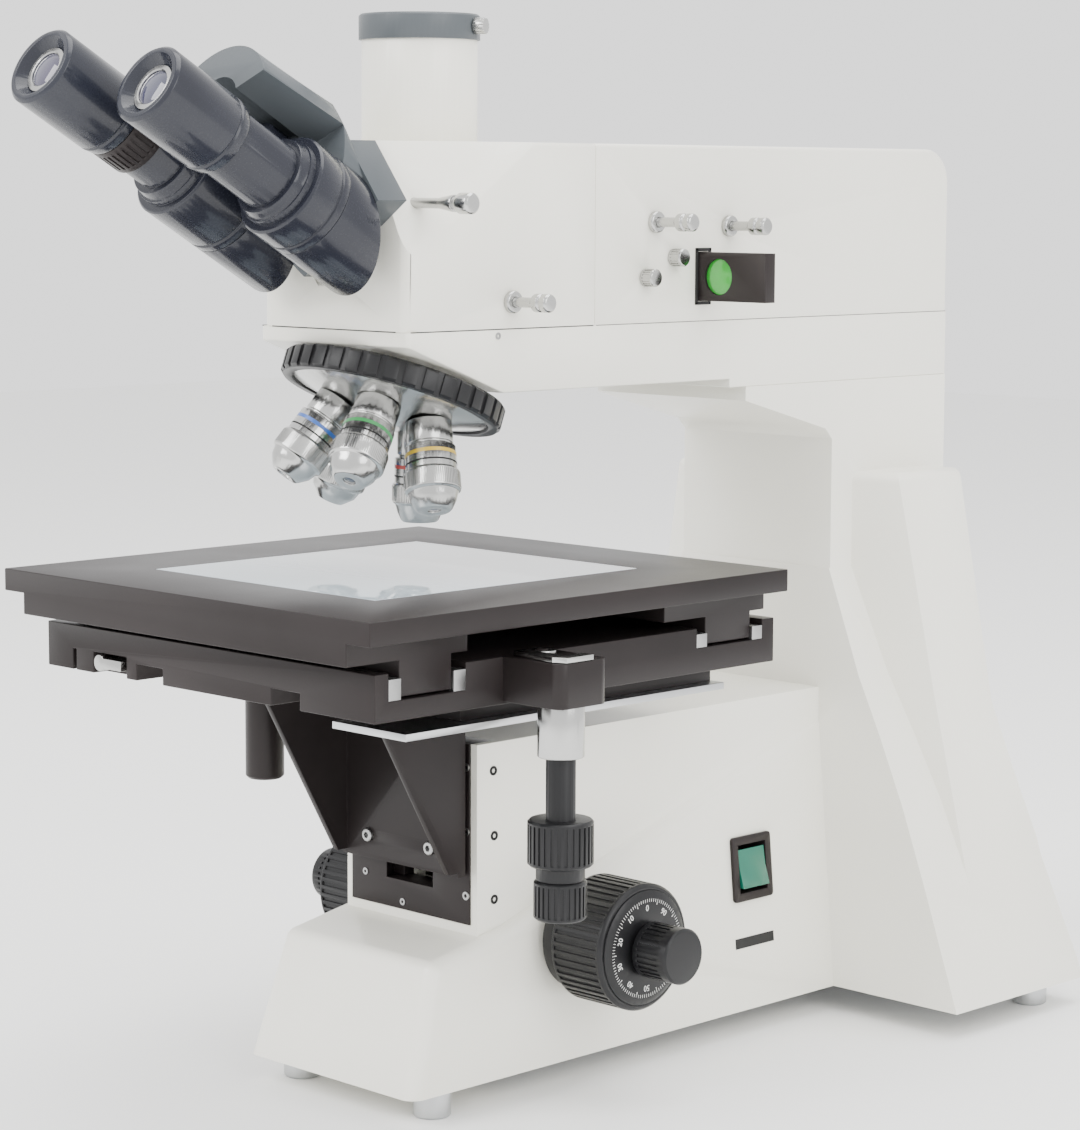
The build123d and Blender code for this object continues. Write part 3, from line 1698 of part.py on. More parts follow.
# Beam splitter slide: a prism box in the head on a longer rod
splitter_end = 84.0
splitter_box_half = 18.0
splitter_box_wall = 3.0
splitter_box_front = 3.5
splitter_box_height = 14.0
splitter_depth = 16.0
splitter_root = 6.0
splitter_knob_profile = [(23, 2.5), (14, 4), (12, 4), (12, 3), (8, 5), (1, 5), (0, 4)]
splitter_plane = Plane(origin=(0, splitter_rod_y, splitter_rod_z), x_dir=(0, 1, 0), z_dir=(1, 0, 0))
with BuildPart() as splitter_slide:
    turned(
        [(splitter_box_half - splitter_root, rod_radius)]
        + [(splitter_end - back, radius) for back, radius in splitter_knob_profile],
        splitter_plane,
    )
    block(
        (-splitter_box_half, splitter_box_half),
        (splitter_rod_y - splitter_box_front, splitter_depth),
        (splitter_rod_z - splitter_box_height, splitter_rod_z + splitter_box_height),
    )
    block(
        (splitter_box_wall - splitter_box_half, splitter_box_half - splitter_box_wall),
        (splitter_rod_y + splitter_root, splitter_depth - splitter_box_wall),
        (splitter_rod_z - splitter_box_height, splitter_rod_z + splitter_box_height),
        mode=Mode.SUBTRACT,
    )
save(splitter_slide, "splitter_slide")

# Two centring screws
screw_head_radius = 4.5
screw_head_length = 8.0
screw_head_chamfer = 0.7
screw_inner = 34.0
screw_names = ["centring_screw_upper", "centring_screw_lower"]
for name, place in zip(screw_names, centring_screw_places):
    screw_plane = Plane(origin=(0, place[0], place[1]), x_dir=(0, 1, 0), z_dir=(1, 0, 0))
    with BuildPart() as centring_screw:
        turned(
            [
                (screw_inner, centring_screw_radius),
                (head_half + seat_gap, centring_screw_radius),
                (head_half + seat_gap, screw_head_radius),
                (head_half + screw_head_length - screw_head_chamfer, screw_head_radius),
                (head_half + screw_head_length, screw_head_radius - screw_head_chamfer),
            ],
            screw_plane,
        )
        flutes(
            screw_plane,
            screw_head_radius,
            head_half + 1.5,
            screw_head_length - 3,
            18,
            small_flute_depth,
            small_flute_width,
        )
    save(centring_screw, name)

# Filter slider with two round windows, green glass in the outer one
slider_reach = 100.0
slider_inner = -8.0
filter_x = 68.0
filter_radius = 9.3
window_spacing = 42.0
filter_thickness = 3.0
filter_setback = 3.0
filter_mid_z = (filter_z[0] + filter_z[1]) / 2
filter_view = front_view.offset(-filter_y[1])
with BuildPart() as filter_slider:
    block((slider_inner, slider_reach), filter_y, filter_z)
    with BuildSketch(filter_view):
        with Locations((filter_x, filter_mid_z), (filter_x - window_spacing, filter_mid_z)):
            Circle(filter_radius)
    extrude(amount=filter_y[1] - filter_y[0], mode=Mode.SUBTRACT)
save(filter_slider, "filter_slider")

with BuildPart() as filter_glass:
    with BuildSketch(filter_view.offset(filter_setback)):
        with Locations((filter_x, filter_mid_z)):
            Circle(filter_radius)
    extrude(amount=filter_thickness)
save(filter_glass, "filter_glass")
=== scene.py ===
import json
import math
import bpy
import bmesh
from mathutils import Matrix, Vector


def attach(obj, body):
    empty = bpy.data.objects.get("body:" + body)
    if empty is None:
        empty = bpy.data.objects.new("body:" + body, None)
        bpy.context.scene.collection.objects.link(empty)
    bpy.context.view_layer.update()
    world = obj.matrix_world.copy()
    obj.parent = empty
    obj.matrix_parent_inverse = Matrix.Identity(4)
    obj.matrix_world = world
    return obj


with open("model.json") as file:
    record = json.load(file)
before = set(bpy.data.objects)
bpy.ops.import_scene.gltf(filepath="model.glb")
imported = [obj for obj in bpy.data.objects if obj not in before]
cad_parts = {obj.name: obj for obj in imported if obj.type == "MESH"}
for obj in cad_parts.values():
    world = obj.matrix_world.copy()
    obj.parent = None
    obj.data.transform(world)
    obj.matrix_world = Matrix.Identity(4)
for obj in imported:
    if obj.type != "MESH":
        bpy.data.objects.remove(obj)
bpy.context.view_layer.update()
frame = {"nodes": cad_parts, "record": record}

mm = 0.001    # Blender works in metres, and the sizes of pieces below are in millimetres
scene = bpy.context.scene
nodes = frame["nodes"]
print("frame loaded:", len(nodes), "nodes")

# Camera, where the photograph was taken from: metres, degrees, and millimetres for lens and sensor
cameraPlace = {
    "position": (1.1275, -1.0477, 0.4527),
    "turn": 44.864,
    "rise": 6.967,
    "roll": 0.2253,
    "lens": 98.7,
    "sensor": 36.0,
    "farLimit": 20.0,
}


def placeCamera(settings):
    turn, rise, roll = (math.radians(settings[key]) for key in ("turn", "rise", "roll"))
    back = Vector((math.sin(turn) * math.cos(rise), -math.cos(turn) * math.cos(rise), math.sin(rise)))
    right = (-back).cross(Vector((0, 0, 1))).normalized()
    down = (-back).cross(right)
    rolledRight = right * math.cos(roll) - down * math.sin(roll)
    rolledDown = right * math.sin(roll) + down * math.cos(roll)
    data = bpy.data.cameras.new("camera")
    data.lens = settings["lens"]
    data.sensor_width = settings["sensor"]
    data.clip_end = settings["farLimit"]
    camera = bpy.data.objects.new("camera", data)
    scene.collection.objects.link(camera)
    turned = Matrix((rolledRight, -rolledDown, back)).transposed().to_4x4()
    camera.matrix_world = Matrix.Translation(settings["position"]) @ turned
    scene.camera = camera


placeCamera(cameraPlace)

# Soft studio in metres and watts: pale floor, even sky, three broad lamps
studio = {
    "floorColour": (0.93, 0.93, 0.92, 1),
    "floorRough": 0.75,
    "floorSize": 9.0,
    "skyColour": (1.0, 1.0, 1.0, 1),
    "skyStrength": 1.7,
    "lamps": {
        "keyLamp": {"at": (-0.6, -2.0, 1.9), "size": 1.6, "power": 62},
        "sideLamp": {"at": (2.2, -0.2, 1.3), "size": 1.5, "power": 30},
        "topLamp": {"at": (0.2, 0.4, 2.4), "size": 1.8, "power": 44},
    },
    "aim": (0.0, 0.12, 0.25),
}


def buildStudio(settings):
    paint = bpy.data.materials.new("floorPaint")
    paint.use_nodes = True
    shader = paint.node_tree.nodes["Principled BSDF"]
    shader.inputs["Base Color"].default_value = settings["floorColour"]
    shader.inputs["Roughness"].default_value = settings["floorRough"]
    half = settings["floorSize"] / 2
    mesh = bpy.data.meshes.new("studioFloor")
    corners = [(-half, -half, 0), (half, -half, 0), (half, half, 0), (-half, half, 0)]
    mesh.from_pydata(corners, [], [(0, 1, 2, 3)])
    mesh.materials.append(paint)
    floor = bpy.data.objects.new("studioFloor", mesh)
    scene.collection.objects.link(floor)
    world = bpy.data.worlds.new("studioSky")
    world.use_nodes = True
    sky = world.node_tree.nodes["Background"]
    sky.inputs["Color"].default_value = settings["skyColour"]
    sky.inputs["Strength"].default_value = settings["skyStrength"]
    scene.world = world
    aim = Vector(settings["aim"])
    for name, lamp in settings["lamps"].items():
        light = bpy.data.lights.new(name, "AREA")
        light.size = lamp["size"]
        light.energy = lamp["power"]
        holder = bpy.data.objects.new(name, light)
        holder.location = lamp["at"]
        holder.rotation_euler = (Vector(lamp["at"]) - aim).to_track_quat("Z", "Y").to_euler()
        scene.collection.objects.link(holder)


buildStudio(studio)
print("studio ready")

# Finishes, all on Object coordinates: colour, a second tone that it drifts to, roughness range, grain, bump.
# Shine is the specular level, clear lets light through, and stretch tightens the grain along an axis
finishes = {
    "white_enamel": {"colour": (0.90, 0.885, 0.80), "drift": (0.87, 0.852, 0.765), "rough": (0.30, 0.42),
                     "metal": 0.0, "grain": 900, "bump": 0.10, "coat": 0.25},
    "black_anodised": {"colour": (0.015, 0.012, 0.012), "drift": (0.024, 0.019, 0.019), "rough": (0.30, 0.46),
                       "metal": 0.1, "grain": 1500, "bump": 0.08, "coat": 0.0, "shine": 0.22},
    "black_knob": {"colour": (0.008, 0.008, 0.009), "drift": (0.013, 0.013, 0.014), "rough": (0.30, 0.44),
                   "metal": 0.0, "grain": 1300, "bump": 0.08, "coat": 0.0, "shine": 0.3},
    "navy_enamel": {"colour": (0.011, 0.012, 0.019), "drift": (0.017, 0.019, 0.028), "rough": (0.20, 0.32),
                    "metal": 0.0, "grain": 1000, "bump": 0.05, "coat": 0.25, "shine": 0.3},
    "grey_enamel": {"colour": (0.070, 0.080, 0.088), "drift": (0.086, 0.096, 0.104), "rough": (0.28, 0.40),
                    "metal": 0.0, "grain": 1000, "bump": 0.10, "coat": 0.0, "shine": 0.3},
    "chrome": {"colour": (0.52, 0.52, 0.51), "drift": (0.44, 0.44, 0.43), "rough": (0.14, 0.27),
               "metal": 1.0, "grain": 700, "bump": 0.03, "coat": 0.0, "stretch": (1, 1, 12)},
    "bright_metal": {"colour": (0.60, 0.61, 0.62), "drift": (0.50, 0.51, 0.52), "rough": (0.26, 0.40),
                     "metal": 1.0, "grain": 900, "bump": 0.10, "coat": 0.0, "stretch": (1, 14, 1)},
    "ground_steel": {"colour": (0.42, 0.42, 0.42), "drift": (0.33, 0.33, 0.33), "rough": (0.28, 0.42),
                     "metal": 1.0, "grain": 900, "bump": 0.10, "coat": 0.0, "stretch": (1, 1, 16)},
    "green_plastic": {"colour": (0.0, 0.10, 0.062), "drift": (0.0, 0.14, 0.085), "rough": (0.18, 0.28),
                      "metal": 0.0, "grain": 600, "bump": 0.04, "coat": 0.4},
    "black_plastic": {"colour": (0.018, 0.018, 0.018), "drift": (0.026, 0.026, 0.026), "rough": (0.42, 0.58),
                      "metal": 0.0, "grain": 1600, "bump": 0.16, "coat": 0.0, "shine": 0.22},
    "clear_glass": {"colour": (0.85, 0.9, 0.92), "drift": (0.8, 0.86, 0.9), "rough": (0.02, 0.06),
                    "metal": 0.0, "grain": 300, "bump": 0.0, "coat": 0.0, "clear": 0.9},
    "stage_glass": {"colour": (0.50, 0.57, 0.61), "drift": (0.45, 0.52, 0.57), "rough": (0.03, 0.09),
                    "metal": 0.0, "grain": 60, "bump": 0.0, "coat": 1.0},
    "green_glass": {"colour": (0.05, 0.55, 0.06), "drift": (0.04, 0.46, 0.05), "rough": (0.04, 0.10),
                    "metal": 0.0, "grain": 200, "bump": 0.0, "coat": 0.5, "clear": 0.35},
    "white_marking": {"colour": (0.86, 0.86, 0.84), "drift": (0.78, 0.78, 0.76), "rough": (0.5, 0.6),
                      "metal": 0.0, "grain": 1200, "bump": 0.05, "coat": 0.0},
    "dark_socket": {"colour": (0.012, 0.012, 0.012), "drift": (0.02, 0.02, 0.02), "rough": (0.6, 0.75),
                    "metal": 0.0, "grain": 1500, "bump": 0.1, "coat": 0.0, "shine": 0.22},
    "lens_coating": {"colour": (0.03, 0.05, 0.075), "drift": (0.06, 0.045, 0.09), "rough": (0.02, 0.05),
                     "metal": 0.0, "grain": 50, "bump": 0.0, "coat": 1.0},
}

# Painted bands of the objectives, alike but for their colour and its drift
bandPaint = {"rough": (0.3, 0.4), "metal": 0.0, "grain": 900, "bump": 0.05, "coat": 0.3}
bandColours = {
    "red_band": ((0.42, 0.03, 0.02), (0.36, 0.02, 0.02)),
    "yellow_band": ((0.62, 0.42, 0.03), (0.56, 0.37, 0.02)),
    "green_band": ((0.03, 0.26, 0.07), (0.02, 0.22, 0.06)),
    "blue_band": ((0.03, 0.12, 0.46), (0.02, 0.10, 0.40)),
}
for bandName, (bandColour, bandDrift) in bandColours.items():
    finishes[bandName] = {"colour": bandColour, "drift": bandDrift, **bandPaint}

# What the finishes share: a slow cloud that drifts the tone, and a fine grain that bumps the surface
grainWork = {
    "cloudScale": 9.0,
    "cloudDetail": 5.0,
    "toneFrom": 0.35,
    "toneTo": 0.7,
    "grainDetail": 3.0,
    "grainShare": 0.4,
    "roughFrom": 0.3,
    "roughTo": 0.7,
    "bumpDepth": 0.0002,
    "coatRough": 0.06,
    "plainShine": 0.5,
}


def makeFinish(name, look, work):
    material = bpy.data.materials.new(name)
    material.use_nodes = True
    tree = material.node_tree
    shader = tree.nodes["Principled BSDF"]
    coords = tree.nodes.new("ShaderNodeTexCoord")
    mapping = tree.nodes.new("ShaderNodeMapping")
    mapping.inputs["Scale"].default_value = look.get("stretch", (1, 1, 1))
    tree.links.new(coords.outputs["Object"], mapping.inputs["Vector"])
    cloud = tree.nodes.new("ShaderNodeTexNoise")
    cloud.inputs["Scale"].default_value = work["cloudScale"]
    cloud.inputs["Detail"].default_value = work["cloudDetail"]
    tree.links.new(coords.outputs["Object"], cloud.inputs["Vector"])
    tone = tree.nodes.new("ShaderNodeValToRGB")
    tone.color_ramp.elements[0].position = work["toneFrom"]
    tone.color_ramp.elements[1].position = work["toneTo"]
    tone.color_ramp.elements[0].color = (*look["colour"], 1)
    tone.color_ramp.elements[1].color = (*look["drift"], 1)
    tree.links.new(cloud.outputs["Fac"], tone.inputs["Fac"])
    tree.links.new(tone.outputs["Color"], shader.inputs["Base Color"])
    grain = tree.nodes.new("ShaderNodeTexNoise")
    grain.inputs["Scale"].default_value = look["grain"]
    grain.inputs["Detail"].default_value = work["grainDetail"]
    tree.links.new(mapping.outputs["Vector"], grain.inputs["Vector"])
    mixed = tree.nodes.new("ShaderNodeMix")
    mixed.data_type = "FLOAT"
    mixed.inputs["Factor"].default_value = work["grainShare"]
    tree.links.new(cloud.outputs["Fac"], mixed.inputs["A"])
    tree.links.new(grain.outputs["Fac"], mixed.inputs["B"])
    rough = tree.nodes.new("ShaderNodeMapRange")
    rough.inputs["From Min"].default_value = work["roughFrom"]
    rough.inputs["From Max"].default_value = work["roughTo"]
    rough.inputs["To Min"].default_value = look["rough"][0]
    rough.inputs["To Max"].default_value = look["rough"][1]
    tree.links.new(mixed.outputs["Result"], rough.inputs["Value"])
    tree.links.new(rough.outputs["Result"], shader.inputs["Roughness"])
    if look["bump"] > 0:
        bump = tree.nodes.new("ShaderNodeBump")
        bump.inputs["Strength"].default_value = look["bump"]
        bump.inputs["Distance"].default_value = work["bumpDepth"]
        tree.links.new(grain.outputs["Fac"], bump.inputs["Height"])
        tree.links.new(bump.outputs["Normal"], shader.inputs["Normal"])
    shader.inputs["Metallic"].default_value = look["metal"]
    shader.inputs["Coat Weight"].default_value = look["coat"]
    shader.inputs["Coat Roughness"].default_value = work["coatRough"]
    shader.inputs["Specular IOR Level"].default_value = look.get("shine", work["plainShine"])
    shader.inputs["Transmission Weight"].default_value = look.get("clear", 0.0)
    return material


materials = {name: makeFinish(name, look, grainWork) for name, look in finishes.items()}
print("finishes made:", len(materials))

# Edge work of the carried-over pieces: rounding and weld in millimetres, flatWithin and edgeFrom in degrees
edgeWork = {
    "rounding": {"stand_casting": 1.0, "arm_casting": 0.7, "head_housing": 0.8, "illuminator_housing": 0.8,
                 "top_plate": 0.5, "middle_plate": 0.5, "binocular_body": 1.0},
    "plainRounding": 0.25,
    "roundingSteps": 2,
    "weldWithin": 0.002,
    "flatWithin": 0.6,
    "edgeFrom": 32,
}


def dressNode(node, finish, work):
    mesh = node.data
    mesh.materials.clear()
    mesh.materials.append(materials[finish])
    mesh.polygons.foreach_set("material_index", [0] * len(mesh.polygons))
    mesh.polygons.foreach_set("use_smooth", [True] * len(mesh.polygons))
    weld = node.modifiers.new("weld", "WELD")
    weld.merge_threshold = work["weldWithin"] * mm
    flatten = node.modifiers.new("flatten", "DECIMATE")
    flatten.decimate_type = "DISSOLVE"
    flatten.angle_limit = math.radians(work["flatWithin"])
    soften = node.modifiers.new("soften", "BEVEL")
    soften.width = work["rounding"].get(node.name, work["plainRounding"]) * mm
    soften.segments = work["roundingSteps"]
    soften.limit_method = "ANGLE"
    soften.angle_limit = math.radians(work["edgeFrom"])
    soften.harden_normals = True


for part in frame["record"]["subparts"]:
    dressNode(nodes[part["node"]], part["material_slot"], edgeWork)
print("carried-over pieces dressed")


# Shared workshop: a plane to work on, a lathe, a block, and a way to file a piece under its body.
# Sizes are in millimetres and angles in degrees. A ring under poleRadius closes to a point
workshop = {"poleRadius": 1e-6, "creaseFrom": 30, "blockSteps": 2, "roundProfile": 0.5}


def planeAt(origin, normal, across=(1, 0, 0)):
    z = Vector(normal).normalized()
    x = Vector(across)
    x = (x - z * x.dot(z)).normalized()
    y = z.cross(x)
    turned = Matrix((x, y, z)).transposed().to_4x4()
    return Matrix.Translation(Vector(origin) * mm) @ turned


def filePiece(name, mesh, body, finish):
    mesh.name = name
    if not mesh.materials:
        mesh.materials.append(materials[finish])
    piece = bpy.data.objects.new(name, mesh)
    scene.collection.objects.link(piece)
    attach(piece, body)


# Turns (radius, height) points round the plane's normal; a closed profile joins its ends
def latheMesh(profile, plane, steps, closed=False):
    shape = bmesh.new()
    rings = []
    for radius, height in profile:
        if radius < workshop["poleRadius"]:
            rings.append([shape.verts.new((0, 0, height * mm))])
            continue
        ring = []
        for step in range(steps):
            angle = 2 * math.pi * step / steps
            around = Vector((math.cos(angle), math.sin(angle), 0)) * radius
            ring.append(shape.verts.new((around + Vector((0, 0, height))) * mm))
        rings.append(ring)
    pairs = list(zip(rings, rings[1:]))
    if closed:
        pairs.append((rings[-1], rings[0]))
    for low, high in pairs:
        for step in range(steps):
            after = (step + 1) % steps
            if len(low) == 1:
                shape.faces.new((low[0], high[step], high[after]))
            elif len(high) == 1:
                shape.faces.new((low[step], low[after], high[0]))
            else:
                shape.faces.new((low[step], low[after], high[after], high[step]))
    bmesh.ops.recalc_face_normals(shape, faces=shape.faces)
    for face in shape.faces:
        face.smooth = True
    creaseAngle = math.radians(workshop["creaseFrom"])
    for edge in shape.edges:
        if len(edge.link_faces) == 2 and edge.calc_face_angle() > creaseAngle:
            edge.smooth = False
    mesh = bpy.data.meshes.new("turned")
    shape.to_mesh(mesh)
    shape.free()
    mesh.transform(plane)
    return mesh


def blockMesh(centre, size, plane, soft):
    shape = bmesh.new()
    bmesh.ops.create_cube(shape, size=1.0)
    bmesh.ops.scale(shape, vec=Vector(size) * mm, verts=shape.verts)
    bmesh.ops.translate(shape, vec=Vector(centre) * mm, verts=shape.verts)
    bmesh.ops.bevel(shape, geom=list(shape.edges), offset=soft * mm, segments=workshop["blockSteps"],
                    affect="EDGES", profile=workshop["roundProfile"])
    mesh = bpy.data.meshes.new("block")
    shape.to_mesh(mesh)
    shape.free()
    mesh.transform(plane)
    return mesh


def joinMeshes(meshes):
    shape = bmesh.new()
    for mesh in meshes:
        shape.from_mesh(mesh)
    joined = bpy.data.meshes.new("joined")
    shape.to_mesh(joined)
    shape.free()
    return joined


# Geometry Nodes: ridges round a ring, and socket screws on marked places
def newTree(name, sockets):
    tree = bpy.data.node_groups.new(name, "GeometryNodeTree")
    tree.interface.new_socket("Geometry", in_out="INPUT", socket_type="NodeSocketGeometry")
    for label, kind in sockets:
        tree.interface.new_socket(label, in_out="INPUT", socket_type=kind)
    tree.interface.new_socket("Geometry", in_out="OUTPUT", socket_type="NodeSocketGeometry")
    return tree


def finishTree(tree, geometry, start):
    realize = tree.nodes.new("GeometryNodeRealizeInstances")
    paint = tree.nodes.new("GeometryNodeSetMaterial")
    end = tree.nodes.new("NodeGroupOutput")
    tree.links.new(geometry, realize.inputs["Geometry"])
    tree.links.new(realize.outputs["Geometry"], paint.inputs["Geometry"])
    tree.links.new(start.outputs["Material"], paint.inputs["Material"])
    tree.links.new(paint.outputs["Geometry"], end.inputs["Geometry"])


def ridgeTree():
    tree = newTree("ridgeRing", [("Radius", "NodeSocketFloat"), ("Count", "NodeSocketInt"),
                                 ("Depth", "NodeSocketFloat"), ("Width", "NodeSocketFloat"),
                                 ("Length", "NodeSocketFloat"), ("Material", "NodeSocketMaterial")])
    start = tree.nodes.new("NodeGroupInput")
    circle = tree.nodes.new("GeometryNodeMeshCircle")
    tree.links.new(start.outputs["Count"], circle.inputs["Vertices"])
    tree.links.new(start.outputs["Radius"], circle.inputs["Radius"])
    size = tree.nodes.new("ShaderNodeCombineXYZ")
    for label, axis in (("Depth", "X"), ("Width", "Y"), ("Length", "Z")):
        tree.links.new(start.outputs[label], size.inputs[axis])
    ridge = tree.nodes.new("GeometryNodeMeshCube")
    tree.links.new(size.outputs["Vector"], ridge.inputs["Size"])
    position = tree.nodes.new("GeometryNodeInputPosition")
    outward = tree.nodes.new("FunctionNodeAlignRotationToVector")
    outward.axis = "X"
    tree.links.new(position.outputs["Position"], outward.inputs["Vector"])
    scatter = tree.nodes.new("GeometryNodeInstanceOnPoints")
    tree.links.new(circle.outputs["Mesh"], scatter.inputs["Points"])
    tree.links.new(ridge.outputs["Mesh"], scatter.inputs["Instance"])
    tree.links.new(outward.outputs["Rotation"], scatter.inputs["Rotation"])
    finishTree(tree, scatter.outputs["Instances"], start)
    return tree


# A screw's head and socket are prisms, and the socket is as deep as the head, raised by a share of its height
screwBuild = {"headSides": 32, "socketSides": 6, "socketRise": 0.4}


def screwTree(build):
    tree = newTree("socketScrews", [("Head Radius", "NodeSocketFloat"), ("Head Height", "NodeSocketFloat"),
                                    ("Socket Radius", "NodeSocketFloat"), ("Turn", "NodeSocketRotation"),
                                    ("Material", "NodeSocketMaterial")])
    start = tree.nodes.new("NodeGroupInput")
    head = tree.nodes.new("GeometryNodeMeshCylinder")
    head.inputs["Vertices"].default_value = build["headSides"]
    tree.links.new(start.outputs["Head Radius"], head.inputs["Radius"])
    tree.links.new(start.outputs["Head Height"], head.inputs["Depth"])
    socket = tree.nodes.new("GeometryNodeMeshCylinder")
    socket.inputs["Vertices"].default_value = build["socketSides"]
    tree.links.new(start.outputs["Socket Radius"], socket.inputs["Radius"])
    tree.links.new(start.outputs["Head Height"], socket.inputs["Depth"])
    lift = tree.nodes.new("ShaderNodeCombineXYZ")
    rise = tree.nodes.new("ShaderNodeMath")
    rise.operation = "MULTIPLY"
    rise.inputs[1].default_value = build["socketRise"]
    tree.links.new(start.outputs["Head Height"], rise.inputs[0])
    tree.links.new(rise.outputs["Value"], lift.inputs["Z"])
    raised = tree.nodes.new("GeometryNodeTransform")
    tree.links.new(socket.outputs["Mesh"], raised.inputs["Geometry"])
    tree.links.new(lift.outputs["Vector"], raised.inputs["Translation"])
    cut = tree.nodes.new("GeometryNodeMeshBoolean")
    cut.operation = "DIFFERENCE"
    tree.links.new(head.outputs["Mesh"], cut.inputs["Mesh 1"])
    tree.links.new(raised.outputs["Geometry"], cut.inputs["Mesh 2"])
    scatter = tree.nodes.new("GeometryNodeInstanceOnPoints")
    tree.links.new(start.outputs["Geometry"], scatter.inputs["Points"])
    tree.links.new(cut.outputs["Mesh"], scatter.inputs["Instance"])
    tree.links.new(start.outputs["Turn"], scatter.inputs["Rotation"])
    finishTree(tree, scatter.outputs["Instances"], start)
    return tree


ridges = ridgeTree()
screws = screwTree(screwBuild)


# What a tree grows on the given points, as a plain mesh
def growMesh(tree, points, values):
    seedMesh = bpy.data.meshes.new("places")
    seedMesh.from_pydata([tuple(Vector(point) * mm) for point in points], [], [])
    seed = bpy.data.objects.new("places", seedMesh)
    scene.collection.objects.link(seed)
    modifier = seed.modifiers.new("grow", "NODES")
    modifier.node_group = tree
    for item in tree.interface.items_tree:
        if item.in_out == "INPUT" and item.name in values:
            modifier[item.identifier] = values[item.name]
    deps = bpy.context.evaluated_depsgraph_get()
    mesh = bpy.data.meshes.new_from_object(seed.evaluated_get(deps))
    bpy.data.objects.remove(seed)
    return mesh


def ridgeMesh(plane, radius, count, depth, width, length, height, finish):
    mesh = growMesh(ridges, [(0, 0, 0)], {
        "Radius": radius * mm, "Count": count, "Depth": depth * mm, "Width": width * mm,
        "Length": length * mm, "Material": materials[finish]})
    mesh.transform(plane @ Matrix.Translation((0, 0, height * mm)))
    return mesh


def screwMesh(points, direction, radius, height, socket, finish):
    turn = Vector(direction).to_track_quat("Z", "Y")
    return growMesh(screws, points, {
        "Head Radius": radius * mm, "Head Height": height * mm, "Socket Radius": socket * mm,
        "Turn": turn.to_euler(), "Material": materials[finish]})


# Nosepiece: the objectives' axes meet at one point and lean away from the turret's own leaning axis.
# Places along an objective are measured from its shoulder, and the lens profile from lensAt
objectiveSet = {
    "count": 5,
    "lean": math.radians(21),
    "meeting": (0, 0, 398.9),
    "shoulder": 67.5,
    "barrel": 12.6,
    "bands": ["red_band", "yellow_band", "green_band", "blue_band", "blue_band"],
    "bandAt": (16.2, 18.0),
    "darkBandAt": (21.4, 22.2),
    "bandSunk": 0.3,
    "bandProud": 0.08,
    "bandSteps": 72,
    "grip": {"radius": 13.75, "ridges": 84, "depth": 0.4, "width": 0.55, "length": 7.5, "at": 30.5},
    "lensAt": 43.9,
    "lensProfile": [(3.15, -0.2), (2.4, 0.25), (0, 0.4)],
    "lensSteps": 32,
}


def objectiveAxis(settings, index):
    lean = settings["lean"]
    angle = 2 * math.pi * index / settings["count"]
    turretAxis = Vector((0, -math.sin(lean), -math.cos(lean)))
    rearward = Vector((0, math.cos(lean), -math.sin(lean)))
    radial = rearward * math.cos(angle) + Vector((1, 0, 0)) * math.sin(angle)
    return turretAxis * math.cos(lean) + radial * math.sin(lean)


def dressObjectives(settings):
    inner = settings["barrel"] - settings["bandSunk"]
    outer = settings["barrel"] + settings["bandProud"]
    grip, lensAt = settings["grip"], settings["lensAt"]
    for index in range(settings["count"]):
        direction = objectiveAxis(settings, index)
        seat = planeAt(Vector(settings["meeting"]) + direction * settings["shoulder"], direction)
        for label, span, finish in (("Band", settings["bandAt"], settings["bands"][index]),
                                    ("DarkBand", settings["darkBandAt"], "dark_socket")):
            low, high = span
            section = [(inner, low), (outer, low), (outer, high), (inner, high)]
            band = latheMesh(section, seat, settings["bandSteps"], True)
            filePiece(f"objective{label}{index + 1}", band, "nosepiece", finish)
        knurl = ridgeMesh(seat, grip["radius"], grip["ridges"], grip["depth"], grip["width"], grip["length"],
                          grip["at"], "chrome")
        filePiece(f"objectiveGrip{index + 1}", knurl, "nosepiece", "chrome")
        profile = [(radius, lensAt + height) for radius, height in settings["lensProfile"]]
        glass = latheMesh(profile, seat, settings["lensSteps"])
        filePiece(f"objectiveLens{index + 1}", glass, "nosepiece", "lens_coating")


dressObjectives(objectiveSet)
print("objectives dressed")

# Eyepieces: coated eye lens in a bright ring at the bottom of each cup, and the cup's soft rim.
# Profiles are (radius, height above the bottom of the cup)
eyeSet = {
    "lean": math.radians(30),
    "root": (0, -57.3, 420.2),
    "spacing": 29.2,
    "start": {"right_tube": 107.0, "left_tube": 124.3},
    "length": 48.0,
    "cupDepth": 5.0,
    "ring": [(8.6, 0.1), (11.3, 0.1), (11.3, 0.9), (9.2, 1.3), (8.6, 0.9)],
    "lens": [(8.6, 0.2), (7.0, 1.0), (4.5, 1.6), (0, 1.9)],
    "rim": [(15.7, 4.2), (17.2, 4.9), (17.4, 4.6), (16.0, 3.9)],
    "ringSteps": 72,
    "lensSteps": 64,
}


def dressEyepieces(settings):
    tubeAxis = Vector((0, -math.cos(settings["lean"]), math.sin(settings["lean"])))
    root = Vector(settings["root"])
    for body, side in (("right_tube", 1), ("left_tube", -1)):
        along = settings["start"][body] + settings["length"] - settings["cupDepth"]
        plane = planeAt(root + tubeAxis * along + Vector((side * settings["spacing"], 0, 0)), tubeAxis)
        ring = latheMesh(settings["ring"], plane, settings["ringSteps"], True)
        filePiece(f"eyeRing_{body}", ring, body, "chrome")
        lens = latheMesh(settings["lens"], plane, settings["lensSteps"])
        filePiece(f"eyeLens_{body}", lens, body, "lens_coating")
        rim = latheMesh(settings["rim"], plane, settings["ringSteps"], True)
        filePiece(f"eyeCupRim_{body}", rim, body, "black_plastic")


dressEyepieces(eyeSet)
print("eyepieces dressed")

